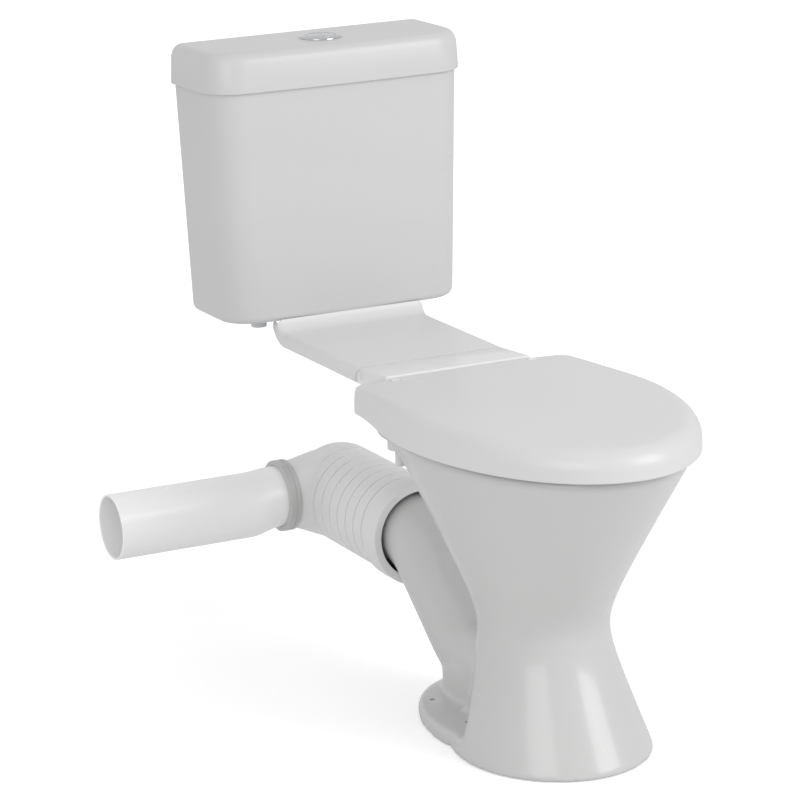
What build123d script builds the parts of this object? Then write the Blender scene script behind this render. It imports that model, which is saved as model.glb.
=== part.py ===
from build123d import *
import math
import os

# A close-coupled toilet suite: pan, seat, linked cistern and swivel waste pipe.
# X runs to the right seen from the front, Y to the wall, Z up, all in millimetres.
# The origin lies on the floor, in the middle of the four floor screws.

# General clearances and the overrun of every cut
overrun = 2.0
running_gap = 0.05
loose_gap = 0.3
slide_gap = 0.5

# Half a turn, in degrees
half_turn = 180.0

# Floor screws in the back of the foot
screw_half_spread_x = 75.0
screw_half_spread_y = 48.0
screw_hole_radius = 3.5

# Pan: foot, waist and rim, all as ovals
foot_half_width = 116.0
foot_front_y = -252.0
foot_back_y = 38.0
waist_z = 152.0
waist_half_width = 78.0
waist_front_y = -194.0
waist_back_y = -24.0
waist_softness = 32.0
rim_top_z = 386.0
rim_half_width = 165.0
rim_front_y = -352.0
rim_back_y = 142.0
rim_band_low_z = 373.0
rim_edge_radius = 5.0
rim_crease_radius = 12.0
foot_section_count = 6
rim_section_count = 10

# Flat flange of the foot that carries the screws
flange_height = 20.0
flange_half_width = 112.0
flange_middle_y = -40.0
flange_half_length = 165.0
flange_edge_radius = 8.0

# Heel that joins the flange to the underside of the horn
heel_half_width = 50.0
heel_front_y = -60.0
heel_back_y = 104.0

# Scooped flanks over the screws
scoop_radius = 67.0
scoop_middle_x = 124.0
scoop_middle_y = -38.0
scoop_shoulder_z = 92.0

# Bowl, sump and the open channel under the rim
opening_half_width = 118.0
opening_front_y = -300.0
opening_back_y = -12.0
bowl_wall = 14.0
channel_depth = 10.0
channel_low_z = 348.0
rim_lip_thickness = 15.0
sump_z = 60.0
sump_half_width = 42.0
sump_front_y = -162.0
sump_back_y = -62.0
sump_middle_share = 0.5

# Trap and outlet horn
trap_radius = 37.0
horn_radius = 51.0
trap_start_y = -125.0
trap_low_z = 66.0
horn_start_y = -109.0
horn_foot_y = 57.0
outlet_z = 178.0
horn_head_y = 206.0
horn_end_y = 264.0
horn_bend = 85.0

# Deck behind the bowl and the flush inlet in its back
deck_half_width = 118.0
deck_front_y = -40.0
deck_back_y = 152.0
deck_low_z = 340.0
deck_corner_radius = 32.0
deck_edge_radius = 14.0
inlet_z = 364.0
inlet_bore_radius = 17.0
inlet_boss_radius = 32.0
inlet_boss_start_y = 133.0
inlet_boss_end_y = 168.0
inlet_seal_bore_radius = 27.0
inlet_seal_bore_depth = 30.0

# Hinge line of the seat and lid
hinge_y = 84.0
hinge_z = 414.0
barrel_radius = 10.0
hinge_pin_radius = 2.5
hinge_pin_inner_x = 72.0
ear_inner_x = 88.5
ear_outer_x = 99.5
slit = 0.8
knuckle_width = 10.5
knuckle_radius = 4.6

# Hinge bar that is bolted to the deck
bar_front_y = 98.0
bar_back_y = 131.0
bar_front_top_z = 425.0
bar_back_top_z = 431.0
bar_edge_radius = 2.5
ear_web_drop = 12.0

# Bolts of the hinge bar
bolt_half_spread = 77.5
bolt_y = 112.0
bolt_radius = 6.0
bolt_hole_radius = 7.0
bolt_top_z = 410.0
bolt_tail = 34.0
nut_radius = 15.0
nut_height = 12.0
nut_wing_length = 44.0
nut_wing_width = 7.0

# Seat lid that wraps over the ring
lid_half_width = 178.0
lid_front_y = -370.0
lid_widest_y = -129.0
lid_rear_half_width = 141.0
lid_rear_y = 98.0
lid_rear_corner_radius = 18.0
lid_low_z = 389.0
lid_rear_top_z = 424.5
lid_crown = 8.0
lid_crown_y = -140.0
lid_wall = 3.5
lid_edge_radius = 12.0
lid_rear_swing_radius = 27.0
lid_tail_drop = 2.0
side_bulge_share = 0.38

# Seat ring
ring_low_z = 396.0
ring_top_z = 414.0
ring_inset = 5.2
ring_back_y = 47.0
ring_side_width = 66.0
ring_hole_half_width = lid_half_width - ring_side_width
ring_hole_front_y = -296.0
ring_hole_back_y = -6.0
ring_edge_radius = 6.0
ring_arm_low_z = 404.5
ring_arm_top_z = 413.0

# Buffers under the ring and under the lid
buffer_radius = 7.0
ring_buffer_side_gap = 46.0
ring_buffer_half_spread_x = lid_half_width - ring_buffer_side_gap
ring_buffer_front_y = -225.0
ring_buffer_back_y = -20.0

# Cistern tank
tank_low_z = 432.0
tank_height = 316.0
tank_top_z = tank_low_z + tank_height
tank_top_half_width = 179.0
tank_side_draft = 11.0
tank_low_half_width = tank_top_half_width - tank_side_draft
tank_top_front_y = 402.0
tank_front_draft = 6.0
tank_low_front_y = tank_top_front_y + tank_front_draft
wall_y = 554.0
tank_corner_radius = 46.0
tank_back_corner_radius = 20.0
tank_bow = 7.0
tank_wall = 4.0
tank_bottom_edge_radius = 9.0
wall_screw_half_spread = 100.0
wall_screw_drop = 58.0
wall_screw_z = tank_top_z - wall_screw_drop
wall_screw_hole_radius = 4.0

# Cistern lid
cover_height = 51.5
cover_lap = 12.5
cover_low_z = tank_top_z - cover_lap
cover_top_z = cover_low_z + cover_height
cover_overhang = 4.5
cover_back_overhang = 2.0
cover_draft = 2.5
cover_edge_radius = 15.0
cover_hollow_inset = 11.5

# Flush button in the cistern lid
button_y = 470.0
bezel_radius = 28.0
bezel_rise = 4.0
bezel_sleeve_radius = 21.5
bezel_sleeve_length = 26.0
bezel_wall = 2.0
bezel_nut_radius = 29.0
bezel_nut_height = 7.0
button_thickness = 7.0
button_sink = 0.8
button_gap = 0.6
button_stem_radius = 3.0
button_stem_length = 34.0
button_stem_share = 0.5

# Flush valve over the outlet
valve_y = 481.0
valve_tail_radius = 29.0
valve_tail_length = 22.0
valve_flange_radius = 40.0
valve_flange_height = 6.0
valve_seat_rise = 20.0
valve_seat_z = tank_low_z + valve_seat_rise
valve_seat_radius = 29.0
valve_foot_start_x = 27.0
valve_post_x = 34.0
valve_post_width = 8.0
valve_post_depth = 16.0
valve_bridge_drop = 93.0
valve_bridge_z = tank_top_z - valve_bridge_drop
valve_bridge_height = 9.0
valve_bridge_half_length = 36.0
valve_guide_wall = 4.4
overflow_radius = 12.0
overflow_bore_radius = 10.0
overflow_drop = 48.0
overflow_top_z = tank_top_z - overflow_drop
seal_thickness = 5.0
plug_height = 6.0
plug_radius = 29.0

# Nuts and washers under the tank
outlet_nut_radius = 38.0
outlet_nut_height = 12.0
outlet_washer_radius = 43.0
outlet_washer_height = 9.0
nut_sides = 6

# Flush pipe and its cone seal
flush_pipe_radius = 21.0
flush_pipe_wall = 2.2
flush_pipe_bend = 46.0
flush_pipe_entry = 26.0
flush_pipe_top_gap = 8.0
cone_lip_length = 5.0

# Link cover between pan and cistern
link_front_half_width = 104.0
link_back_half_width = 108.0
link_top_z = 420.0
link_low_z = 403.0
link_back_y = 440.0
link_wall = 3.5
link_edge_radius = 9.0
link_rise_radius = 10.0
link_front_gap = 1.0

# Fill valve and its float
fill_side_gap = 76.0
fill_wall_gap = 54.0
fill_x = fill_side_gap - tank_low_half_width
fill_y = wall_y - fill_wall_gap
fill_shank_radius = 10.2
fill_shank_length = 24.0
fill_thread_radius = 11.6
fill_flange_radius = 17.0
fill_flange_height = 5.0
fill_column_radius = 11.0
fill_column_bore = 6.0
fill_head_drop = 72.0
fill_head_z = tank_top_z - fill_head_drop
fill_head_radius = 21.0
fill_head_height = 30.0
fill_outlet_radius = 6.0
fill_outlet_length = 26.0
fill_nut_radius = 17.0
fill_nut_height = 8.0
fill_washer_radius = 16.0
fill_washer_height = 3.0
float_radius = 31.0
float_height = 64.0
float_low_z = 452.0
float_wall = 2.5

# Grooved connector on the horn
socket_mouth_y = 218.0
socket_lip_radius = 68.0
socket_lip_length = 38.0
socket_lip_edge = 5.0
socket_lip_round = 2.5
socket_radius = 64.5
socket_bore_radius = 57.5
socket_bore_depth = 78.0
socket_back_y = 460.0
socket_inner_radius = 58.0
groove_count = 8
first_groove_y = 269.0
groove_pitch = 24.4
groove_width = 2.0
groove_depth = 1.2
seal_start_y = 240.0
seal_length = 16.0
seal_fin_depth = 2.2
seal_fin_count = 3

# Swivel neck, ring and waste pipe, to the left
neck_y = 462.0
neck_z = 184.0
neck_start_x = -24.0
neck_end_x = -77.0
neck_end_radius = 44.5
neck_tip_x = -91.0
neck_wall = 3.0
swivel_ring_radius = 47.5
swivel_ring_start_x = -77.5
swivel_ring_end_x = -92.0
swivel_ring_lip = 2.5
swivel_ring_round = 1.25
pipe_radius = 43.0
pipe_wall = 2.6
pipe_spigot_radius = 40.6
pipe_spigot_x = -79.0
pipe_bend_end_x = -141.0
pipe_end_x = -332.0
pipe_shift_y = -5.0
pipe_shift_z = -4.0
neck_seal_width = 5.0


# Small makers of shapes

def rod_x(radius, y, z, left, right):
    """A round bar along X."""
    bar = Cylinder(radius, right - left, align=(Align.CENTER, Align.CENTER, Align.MIN))
    return Pos(left, y, z) * Rot(0, 90, 0) * bar


def rod_y(radius, x, z, front, back):
    """A round bar along Y."""
    bar = Cylinder(radius, back - front, align=(Align.CENTER, Align.CENTER, Align.MIN))
    return Pos(x, front, z) * Rot(-90, 0, 0) * bar


def rod_z(radius, x, y, low, high):
    """A round bar along Z."""
    bar = Cylinder(radius, high - low, align=(Align.CENTER, Align.CENTER, Align.MIN))
    return Pos(x, y, low) * bar


def tube_z(outer, inner, x, y, low, high):
    """A round tube along Z."""
    return rod_z(outer, x, y, low, high) - rod_z(inner, x, y, low - overrun, high + overrun)


def block(left, right, front, back, low, high):
    """A box between six planes."""
    box = Box(right - left, back - front, high - low, align=(Align.MIN, Align.MIN, Align.MIN))
    return Pos(left, front, low) * box


def oval(half_width, front, back, height):
    """A flat oval, symmetric about the middle plane, at one height."""
    return Pos(0, (front + back) / 2, height) * Ellipse(half_width, (back - front) / 2)


def hex_nut(radius, bore, x, y, low, high):
    """A six-sided nut around a vertical shank."""
    prism = extrude(Pos(x, y, low) * RegularPolygon(radius, nut_sides), amount=high - low)
    return prism - rod_z(bore, x, y, low - overrun, high + overrun)


def mirrored(shape):
    """The shape together with its mirror image on the other side."""
    return [shape, shape.mirror(Plane.YZ)]


# Outline of the pan at any height: two flares that meet in a soft waist

def flare(height, end_height, at_waist, at_end):
    """A size that grows from its value at the waist to its value at the end."""
    reach = math.hypot(height - waist_z, waist_softness) - waist_softness
    full_reach = math.hypot(end_height - waist_z, waist_softness) - waist_softness
    return at_waist + (at_end - at_waist) * reach / full_reach


def pan_oval(height):
    """The outer outline of the pan at a height."""
    if height < waist_z:
        ends = (0, foot_half_width, foot_front_y, foot_back_y)
    else:
        ends = (rim_band_low_z, rim_half_width, rim_front_y, rim_back_y)
    return oval(
        flare(height, ends[0], waist_half_width, ends[1]),
        flare(height, ends[0], waist_front_y, ends[2]),
        flare(height, ends[0], waist_back_y, ends[3]),
        height,
    )


def bowl_oval(height):
    """The outline of the bowl's inside at a height above the waist."""
    return oval(
        flare(height, rim_top_z, waist_half_width - bowl_wall, opening_half_width),
        flare(height, rim_top_z, waist_front_y + bowl_wall, opening_front_y),
        flare(height, rim_top_z, waist_back_y - bowl_wall, opening_back_y),
        height,
    )


def heights_to(top):
    """Heights of the sections from the waist up to a top."""
    step = (top - waist_z) / (rim_section_count - 1)
    return [waist_z + index * step for index in range(rim_section_count)]


def trap_path(start_y):
    """The middle line of the trap: low, up the horn, then level to its end."""
    points = [
        (0, start_y, trap_low_z),
        (0, horn_foot_y, trap_low_z),
        (0, horn_head_y, outlet_z),
        (0, horn_end_y, outlet_z),
    ]
    return FilletPolyline(*points, radius=horn_bend)


# The pan and what is bolted to it

def pan_column():
    """Foot, waist and bowl as one smooth body."""
    heights = [index * waist_z / foot_section_count for index in range(foot_section_count)]
    heights += heights_to(rim_band_low_z)
    column = loft([pan_oval(height) for height in heights])
    column += extrude(pan_oval(rim_band_low_z), amount=rim_top_z - rim_band_low_z)
    crease = column.edges().filter_by(
        lambda edge: abs(edge.center().Z - rim_band_low_z) < running_gap
    )
    column = fillet(crease, rim_crease_radius)
    return fillet(column.edges().group_by(Axis.Z)[-1], rim_edge_radius)


def pan_flange():
    """The low flange at the back of the foot."""
    front = flange_middle_y - flange_half_length
    back = flange_middle_y + flange_half_length
    flange = extrude(oval(flange_half_width, front, back, 0), amount=flange_height)
    return fillet(flange.edges().group_by(Axis.Z)[-1], flange_edge_radius)


def pan_heel():
    """The heel under the horn."""
    return extrude(oval(heel_half_width, heel_front_y, heel_back_y, 0), amount=trap_low_z)


def pan_deck():
    """The deck behind the bowl, with a boss for the flush pipe."""
    deck = block(
        -deck_half_width, deck_half_width, deck_front_y, deck_back_y, deck_low_z, rim_top_z
    )
    corners = deck.edges().filter_by(Axis.Z).group_by(Axis.Y)[-1]
    deck = fillet(corners, deck_corner_radius)
    deck = fillet(deck.edges().group_by(Axis.Z)[0], deck_edge_radius)
    boss = rod_y(inlet_boss_radius, 0, inlet_z, inlet_boss_start_y, inlet_boss_end_y)
    return deck + boss


def horn():
    """The outside of the trap and its horn."""
    path = trap_path(horn_start_y)
    return sweep(Plane(path @ 0, z_dir=path % 0) * Circle(horn_radius), path=path)


def side_scoops():
    """The hollows in both flanks that make room for the floor screws."""
    scoop = rod_z(scoop_radius, scoop_middle_x, scoop_middle_y, flange_height, scoop_shoulder_z)
    dome = Pos(scoop_middle_x, scoop_middle_y, scoop_shoulder_z) * Sphere(scoop_radius)
    above = block(
        0, scoop_middle_x + scoop_radius, scoop_middle_y - scoop_radius,
        scoop_middle_y + scoop_radius, scoop_shoulder_z, scoop_shoulder_z + scoop_radius,
    )
    return mirrored(scoop + (dome & above))


def bowl_hollow():
    """Bowl, sump, trap and the channel under the rim."""
    upper = loft([bowl_oval(height) for height in heights_to(rim_top_z)])
    mouth = extrude(bowl_oval(rim_top_z), amount=overrun)
    middle_z = sump_z + sump_middle_share * (waist_z - sump_z)
    middle = oval(
        (sump_half_width + waist_half_width - bowl_wall) / 2,
        (sump_front_y + waist_front_y + bowl_wall) / 2,
        (sump_back_y + waist_back_y - bowl_wall) / 2,
        middle_z,
    )
    lower = loft([oval(sump_half_width, sump_front_y, sump_back_y, sump_z), middle, bowl_oval(waist_z)])
    path = trap_path(trap_start_y)
    trap = sweep(Plane(path @ 0, z_dir=path % 0) * Circle(trap_radius), path=path)
    end = rod_y(trap_radius, 0, outlet_z, horn_end_y - overrun, horn_end_y + overrun)
    start = Pos(0, trap_start_y, trap_low_z) * Sphere(trap_radius)
    channel = extrude(
        oval(
            opening_half_width + channel_depth,
            opening_front_y - channel_depth,
            opening_back_y + channel_depth,
            channel_low_z,
        ),
        amount=rim_top_z - rim_lip_thickness - channel_low_z,
    )
    return [upper, mouth, lower, trap, end, start, channel]


def pan():
    """The vitreous pan in one piece."""
    body = pan_column() + pan_flange() + pan_heel() + pan_deck() + horn()
    for cut in bowl_hollow():
        body -= cut
    for scoop in side_scoops():
        body -= scoop - horn() - pan_flange() - pan_heel()
    body -= rod_y(inlet_bore_radius, 0, inlet_z, opening_back_y, inlet_boss_end_y + overrun)
    body -= rod_y(
        inlet_seal_bore_radius, 0, inlet_z,
        inlet_boss_end_y - inlet_seal_bore_depth, inlet_boss_end_y + overrun,
    )
    for x in (-screw_half_spread_x, screw_half_spread_x):
        for y in (-screw_half_spread_y, screw_half_spread_y):
            body -= rod_z(screw_hole_radius, x, y, -overrun, flange_height + overrun)
    for x in (-bolt_half_spread, bolt_half_spread):
        body -= rod_z(bolt_hole_radius, x, bolt_y, deck_low_z - overrun, rim_top_z + overrun)
    return body


def hinge_bar():
    """The bar behind the seat, with two ears for the hinge pins."""
    profile = Polyline(
        (0, bar_front_y, rim_top_z),
        (0, bar_back_y, rim_top_z),
        (0, bar_back_y, bar_back_top_z),
        (0, bar_front_y, bar_front_top_z),
        close=True,
    )
    bar = extrude(make_face(profile), amount=ear_outer_x, dir=(1, 0, 0), both=True)
    upward = bar.faces().filter_by(lambda face: face.normal_at().Z > face.normal_at().Y)
    top = upward.sort_by(Axis.Z)[-1]
    bar = fillet(top.edges(), bar_edge_radius)
    for ear in mirrored(rod_x(barrel_radius, hinge_y, hinge_z, ear_inner_x, ear_outer_x)):
        bar += ear
    web = block(
        ear_inner_x, ear_outer_x, hinge_y, bar_front_y + bar_edge_radius,
        hinge_z - ear_web_drop, hinge_z,
    )
    for piece in mirrored(web):
        bar += piece
    pin_length = ear_outer_x + overrun
    bar -= rod_x(hinge_pin_radius, hinge_y, hinge_z, -pin_length, pin_length)
    for x in (-bolt_half_spread, bolt_half_spread):
        bar -= rod_z(bolt_radius, x, bolt_y, rim_top_z - overrun, bolt_top_z)
    return bar


def hinge_pins():
    """Two steel pins, each through an ear, the lid and the ring's knuckle."""
    end = ear_outer_x + slit + knuckle_width
    return mirrored(rod_x(hinge_pin_radius, hinge_y, hinge_z, hinge_pin_inner_x, end))


def hinge_bolts():
    """Two bolts from the hinge bar down through the deck."""
    low = deck_low_z - bolt_tail
    places = (-bolt_half_spread, bolt_half_spread)
    return [rod_z(bolt_radius, x, bolt_y, low, bolt_top_z) for x in places]


def hinge_nuts():
    """Two wing nuts under the deck."""
    nuts = []
    for x in (-bolt_half_spread, bolt_half_spread):
        body = rod_z(nut_radius, x, bolt_y, deck_low_z - nut_height, deck_low_z)
        half_length = nut_wing_length / 2
        half_width = nut_wing_width / 2
        body += block(
            x - half_width, x + half_width, bolt_y - half_length, bolt_y + half_length,
            deck_low_z - nut_height, deck_low_z,
        )
        bore_low = deck_low_z - nut_height - overrun
        nuts.append(body - rod_z(bolt_radius, x, bolt_y, bore_low, deck_low_z + overrun))
    return nuts


# Seat ring and lid, both from one outline

def seat_outline(inset, height):
    """The egg outline of the lid, drawn in by an inset."""
    half = lid_half_width - inset
    rear_half = lid_rear_half_width - inset
    rear = lid_rear_y - inset
    span = side_bulge_share * (rear - lid_widest_y)
    nose = EllipticalCenterArc(
        (0, lid_widest_y), half, lid_widest_y - lid_front_y - inset,
        start_angle=half_turn, arc_size=half_turn,
    )
    side = Bezier(
        (half, lid_widest_y), (half, lid_widest_y + span), (rear_half, rear - span), (rear_half, rear)
    )
    back = Line((rear_half, rear), (-rear_half, rear))
    other_side = Bezier(
        (-rear_half, rear), (-rear_half, rear - span), (-half, lid_widest_y + span), (-half, lid_widest_y)
    )
    outline = make_face(Wire([nose, side, back, other_side]))
    corners = outline.vertices().group_by(Axis.Y)[-1]
    return Pos(0, 0, height) * fillet(corners, lid_rear_corner_radius - inset)


def crown_ball(drop):
    """The very large ball whose top is the lid's crowned surface."""
    reach = hinge_y - lid_crown_y
    radius = (reach ** 2 + lid_crown ** 2) / (2 * lid_crown)
    return Pos(0, lid_crown_y, lid_rear_top_z + lid_crown - drop - radius) * Sphere(radius)


def seat_lid():
    """The lid: a crowned shell with a barrel along its hinge line."""
    high = lid_rear_top_z + lid_crown + overrun
    outer = extrude(seat_outline(0, lid_low_z), amount=high - lid_low_z) & crown_ball(0)
    outer = fillet(outer.edges().group_by(Axis.Z)[1:], lid_edge_radius)
    tail = block(
        -lid_half_width, lid_half_width, hinge_y, lid_rear_y + overrun, lid_low_z - overrun, high
    )
    outer -= tail - rod_x(lid_rear_swing_radius, hinge_y, hinge_z, -lid_half_width, lid_half_width)
    inner = extrude(seat_outline(lid_wall, lid_low_z - overrun), amount=high) & crown_ball(lid_wall)
    inner -= tail - rod_x(
        lid_rear_swing_radius - lid_wall, hinge_y, hinge_z, -lid_half_width, lid_half_width
    )
    lid = outer - inner
    notch = ear_outer_x + slit
    lid -= block(-notch, notch, hinge_y, lid_rear_y + overrun, lid_low_z - overrun, high)
    ear_room = rod_x(barrel_radius + slit, hinge_y, hinge_z, ear_inner_x - slit, notch)
    knuckle_room = block(
        notch - overrun, notch + knuckle_width + 2 * slit, hinge_y, lid_rear_y + overrun,
        lid_low_z - overrun, hinge_z - lid_tail_drop,
    )
    for room in mirrored(ear_room) + mirrored(knuckle_room):
        lid -= room
    barrel_end = ear_inner_x - slit
    lid += rod_x(barrel_radius, hinge_y, hinge_z, -barrel_end, barrel_end)
    bore = rod_x(
        hinge_pin_radius + running_gap, hinge_y, hinge_z, hinge_pin_inner_x - slide_gap, ear_inner_x
    )
    for hole in mirrored(bore):
        lid -= hole
    return lid


def seat_ring():
    """The ring, with an arm and a knuckle at each side."""
    ring = extrude(seat_outline(ring_inset, ring_low_z), amount=ring_top_z - ring_low_z)
    ring -= block(
        -lid_half_width, lid_half_width, ring_back_y, lid_rear_y,
        ring_low_z - overrun, ring_top_z + overrun,
    )
    hole = oval(ring_hole_half_width, ring_hole_front_y, ring_hole_back_y, ring_low_z - overrun)
    ring -= extrude(hole, amount=ring_top_z - ring_low_z + 2 * overrun)
    ring = fillet(ring.edges().group_by(Axis.Z)[-1], ring_edge_radius)
    start = ear_outer_x + slit
    arm = block(
        start, start + knuckle_width, ring_back_y - ring_edge_radius, hinge_y,
        ring_arm_low_z, ring_arm_top_z,
    )
    knuckle = rod_x(knuckle_radius, hinge_y, hinge_z, start, start + knuckle_width)
    for piece in mirrored(arm) + mirrored(knuckle):
        ring += piece
    bore = rod_x(
        hinge_pin_radius + running_gap, hinge_y, hinge_z, start - overrun, start + knuckle_width + overrun
    )
    for hole in mirrored(bore):
        ring -= hole
    return ring


def buffer_places():
    """Where the four buffers lie on the rim."""
    return [
        (x, y)
        for x in (-ring_buffer_half_spread_x, ring_buffer_half_spread_x)
        for y in (ring_buffer_front_y, ring_buffer_back_y)
    ]


def seat_buffers():
    """Four rubber feet between the ring and the rim."""
    return [rod_z(buffer_radius, x, y, rim_top_z, ring_low_z) for x, y in buffer_places()]


def lid_buffers():
    """Four rubber feet between the lid and the ring."""
    high = lid_rear_top_z + lid_crown
    return [
        rod_z(buffer_radius, x, y, ring_top_z + loose_gap, high) & crown_ball(lid_wall)
        for x, y in buffer_places()
    ]


# Cistern

def cistern_outline(half_width, front, back, corner, back_corner, height):
    """A rounded rectangle with a gently bowed front."""
    side_front = front + tank_bow
    outline = make_face(
        Wire([
            ThreePointArc((-half_width, side_front), (0, front), (half_width, side_front)),
            Line((half_width, side_front), (half_width, back)),
            Line((half_width, back), (-half_width, back)),
            Line((-half_width, back), (-half_width, side_front)),
        ])
    )
    front_corners = outline.vertices().group_by(Axis.Y)[0]
    outline = fillet(front_corners, corner)
    back_corners = outline.vertices().group_by(Axis.Y)[-1]
    return Pos(0, 0, height) * fillet(back_corners, back_corner)


def tank_outline(inset, height):
    """The tank's outline at a height, drawn in by an inset."""
    share = (height - tank_low_z) / (tank_top_z - tank_low_z)
    half_width = tank_low_half_width + share * (tank_top_half_width - tank_low_half_width)
    front = tank_low_front_y + share * (tank_top_front_y - tank_low_front_y)
    return cistern_outline(
        half_width - inset, front + inset, wall_y - inset,
        tank_corner_radius - inset, tank_back_corner_radius - inset, height,
    )


def cistern_tank():
    """The open tank."""
    outer = loft([tank_outline(0, tank_low_z), tank_outline(0, tank_top_z)])
    outer = fillet(outer.edges().group_by(Axis.Z)[0], tank_bottom_edge_radius)
    inner = loft([
        tank_outline(tank_wall, tank_low_z + tank_wall), tank_outline(tank_wall, tank_top_z + overrun)
    ])
    tank = outer - inner
    floor_z = tank_low_z + tank_wall + overrun
    tank -= rod_z(valve_tail_radius + loose_gap, 0, valve_y, tank_low_z - overrun, floor_z)
    tank -= rod_z(fill_thread_radius + loose_gap, fill_x, fill_y, tank_low_z - overrun, floor_z)
    for x in (-wall_screw_half_spread, wall_screw_half_spread):
        front = wall_y - tank_wall - overrun
        tank -= rod_y(wall_screw_hole_radius, x, wall_screw_z, front, wall_y + overrun)
    return tank


def cover_outline(inset, height):
    """The cistern lid's outline at a height."""
    share = (height - cover_low_z) / (cover_top_z - cover_low_z)
    grown = cover_overhang - inset - share * cover_draft
    return cistern_outline(
        tank_top_half_width + grown, tank_top_front_y - grown, wall_y + cover_back_overhang - inset,
        tank_corner_radius + grown, tank_back_corner_radius - inset, height,
    )


def cistern_lid():
    """The lid that lifts off the tank."""
    outer = loft([cover_outline(0, cover_low_z), cover_outline(0, cover_top_z)])
    outer = fillet(outer.edges().group_by(Axis.Z)[-1], cover_edge_radius)
    skirt_wall = cover_overhang - slide_gap
    rebate = loft([
        cistern_outline(
            tank_top_half_width + cover_overhang - skirt_wall, tank_top_front_y - slide_gap,
            wall_y + slide_gap, tank_corner_radius + slide_gap, tank_back_corner_radius, height,
        )
        for height in (cover_low_z - overrun, tank_top_z)
    ])
    hollow = loft([
        tank_outline(tank_wall, tank_top_z - overrun),
        tank_outline(cover_hollow_inset, cover_top_z - tank_wall),
    ])
    lid = outer - rebate - hollow
    return lid - rod_z(
        bezel_sleeve_radius + loose_gap, 0, button_y, cover_top_z - 2 * tank_wall, cover_top_z + overrun
    )


def button_bezel():
    """The chrome bezel: a domed ring on a sleeve."""
    low = cover_top_z
    dome_radius = (bezel_radius ** 2 + bezel_rise ** 2) / (2 * bezel_rise)
    dome = Pos(0, button_y, low + bezel_rise - dome_radius) * Sphere(dome_radius)
    head = rod_z(bezel_radius, 0, button_y, low, low + bezel_rise) & dome
    sleeve = rod_z(bezel_sleeve_radius, 0, button_y, low - bezel_sleeve_length, low)
    bore = bezel_sleeve_radius - bezel_wall
    return head + sleeve - rod_z(
        bore, 0, button_y, low - bezel_sleeve_length - overrun, low + bezel_rise + overrun
    )


def bezel_nut():
    """The ring nut that clamps the bezel from below."""
    top = cover_top_z - tank_wall
    return tube_z(bezel_nut_radius, bezel_sleeve_radius, 0, button_y, top - bezel_nut_height, top)


def button_half(side):
    """One half of the split button, with its stem."""
    radius = bezel_sleeve_radius - bezel_wall - loose_gap
    top = cover_top_z + bezel_rise - button_sink
    disc = rod_z(radius, 0, button_y, top - button_thickness, top)
    gap = button_gap / 2
    keep = block(
        gap, radius + overrun, button_y - radius - overrun, button_y + radius + overrun,
        top - button_thickness - overrun, top + overrun,
    )
    if side < 0:
        keep = keep.mirror(Plane.YZ)
    stem_x = side * button_stem_share * radius
    stem = rod_z(
        button_stem_radius, stem_x, button_y,
        top - button_thickness - button_stem_length, top - button_thickness,
    )
    return (disc & keep) + stem


# Flush valve, fill valve and their fixings

def flush_valve_frame():
    """Valve seat, tail through the tank and a bridge on two posts."""
    floor_z = tank_low_z + tank_wall
    bore = flush_pipe_radius + loose_gap
    frame = rod_z(valve_tail_radius, 0, valve_y, tank_low_z - valve_tail_length, floor_z)
    frame += rod_z(valve_flange_radius, 0, valve_y, floor_z, floor_z + valve_flange_height)
    frame += rod_z(valve_seat_radius, 0, valve_y, floor_z, valve_seat_z)
    frame -= rod_z(bore, 0, valve_y, tank_low_z - valve_tail_length - overrun, valve_seat_z + overrun)
    half_depth = valve_post_depth / 2
    post = block(
        valve_post_x, valve_post_x + valve_post_width, valve_y - half_depth, valve_y + half_depth,
        floor_z, valve_bridge_z + valve_bridge_height,
    )
    for piece in mirrored(post):
        frame += piece
    foot = block(
        valve_foot_start_x, valve_post_x + valve_post_width,
        valve_y - half_depth, valve_y + half_depth, floor_z, floor_z + valve_flange_height,
    )
    for piece in mirrored(foot):
        frame += piece
    frame += block(
        -valve_bridge_half_length, valve_bridge_half_length, valve_y - half_depth, valve_y + half_depth,
        valve_bridge_z, valve_bridge_z + valve_bridge_height,
    )
    guide_radius = overflow_radius + valve_guide_wall
    frame += rod_z(guide_radius, 0, valve_y, valve_bridge_z, valve_bridge_z + valve_bridge_height)
    return frame - rod_z(
        overflow_radius + running_gap * 2, 0, valve_y,
        valve_bridge_z - overrun, valve_bridge_z + valve_bridge_height + overrun,
    )


def flush_valve_tube():
    """The overflow tube with the plug that lifts off the seat."""
    low = valve_seat_z + seal_thickness
    tube = rod_z(overflow_radius, 0, valve_y, low, overflow_top_z)
    tube += rod_z(plug_radius, 0, valve_y, low, low + plug_height)
    return tube - rod_z(overflow_bore_radius, 0, valve_y, low - overrun, overflow_top_z + overrun)


def flush_valve_seal():
    """The rubber ring under the plug."""
    return tube_z(
        plug_radius, overflow_bore_radius, 0, valve_y, valve_seat_z, valve_seat_z + seal_thickness
    )


def outlet_washer():
    """The thick rubber washer between the tank and its outlet nut."""
    return tube_z(
        outlet_washer_radius, valve_tail_radius, 0, valve_y, tank_low_z - outlet_washer_height, tank_low_z
    )


def outlet_nut():
    """The large nut on the valve's tail."""
    top = tank_low_z - outlet_washer_height
    return hex_nut(outlet_nut_radius, valve_tail_radius, 0, valve_y, top - outlet_nut_height, top)


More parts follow.
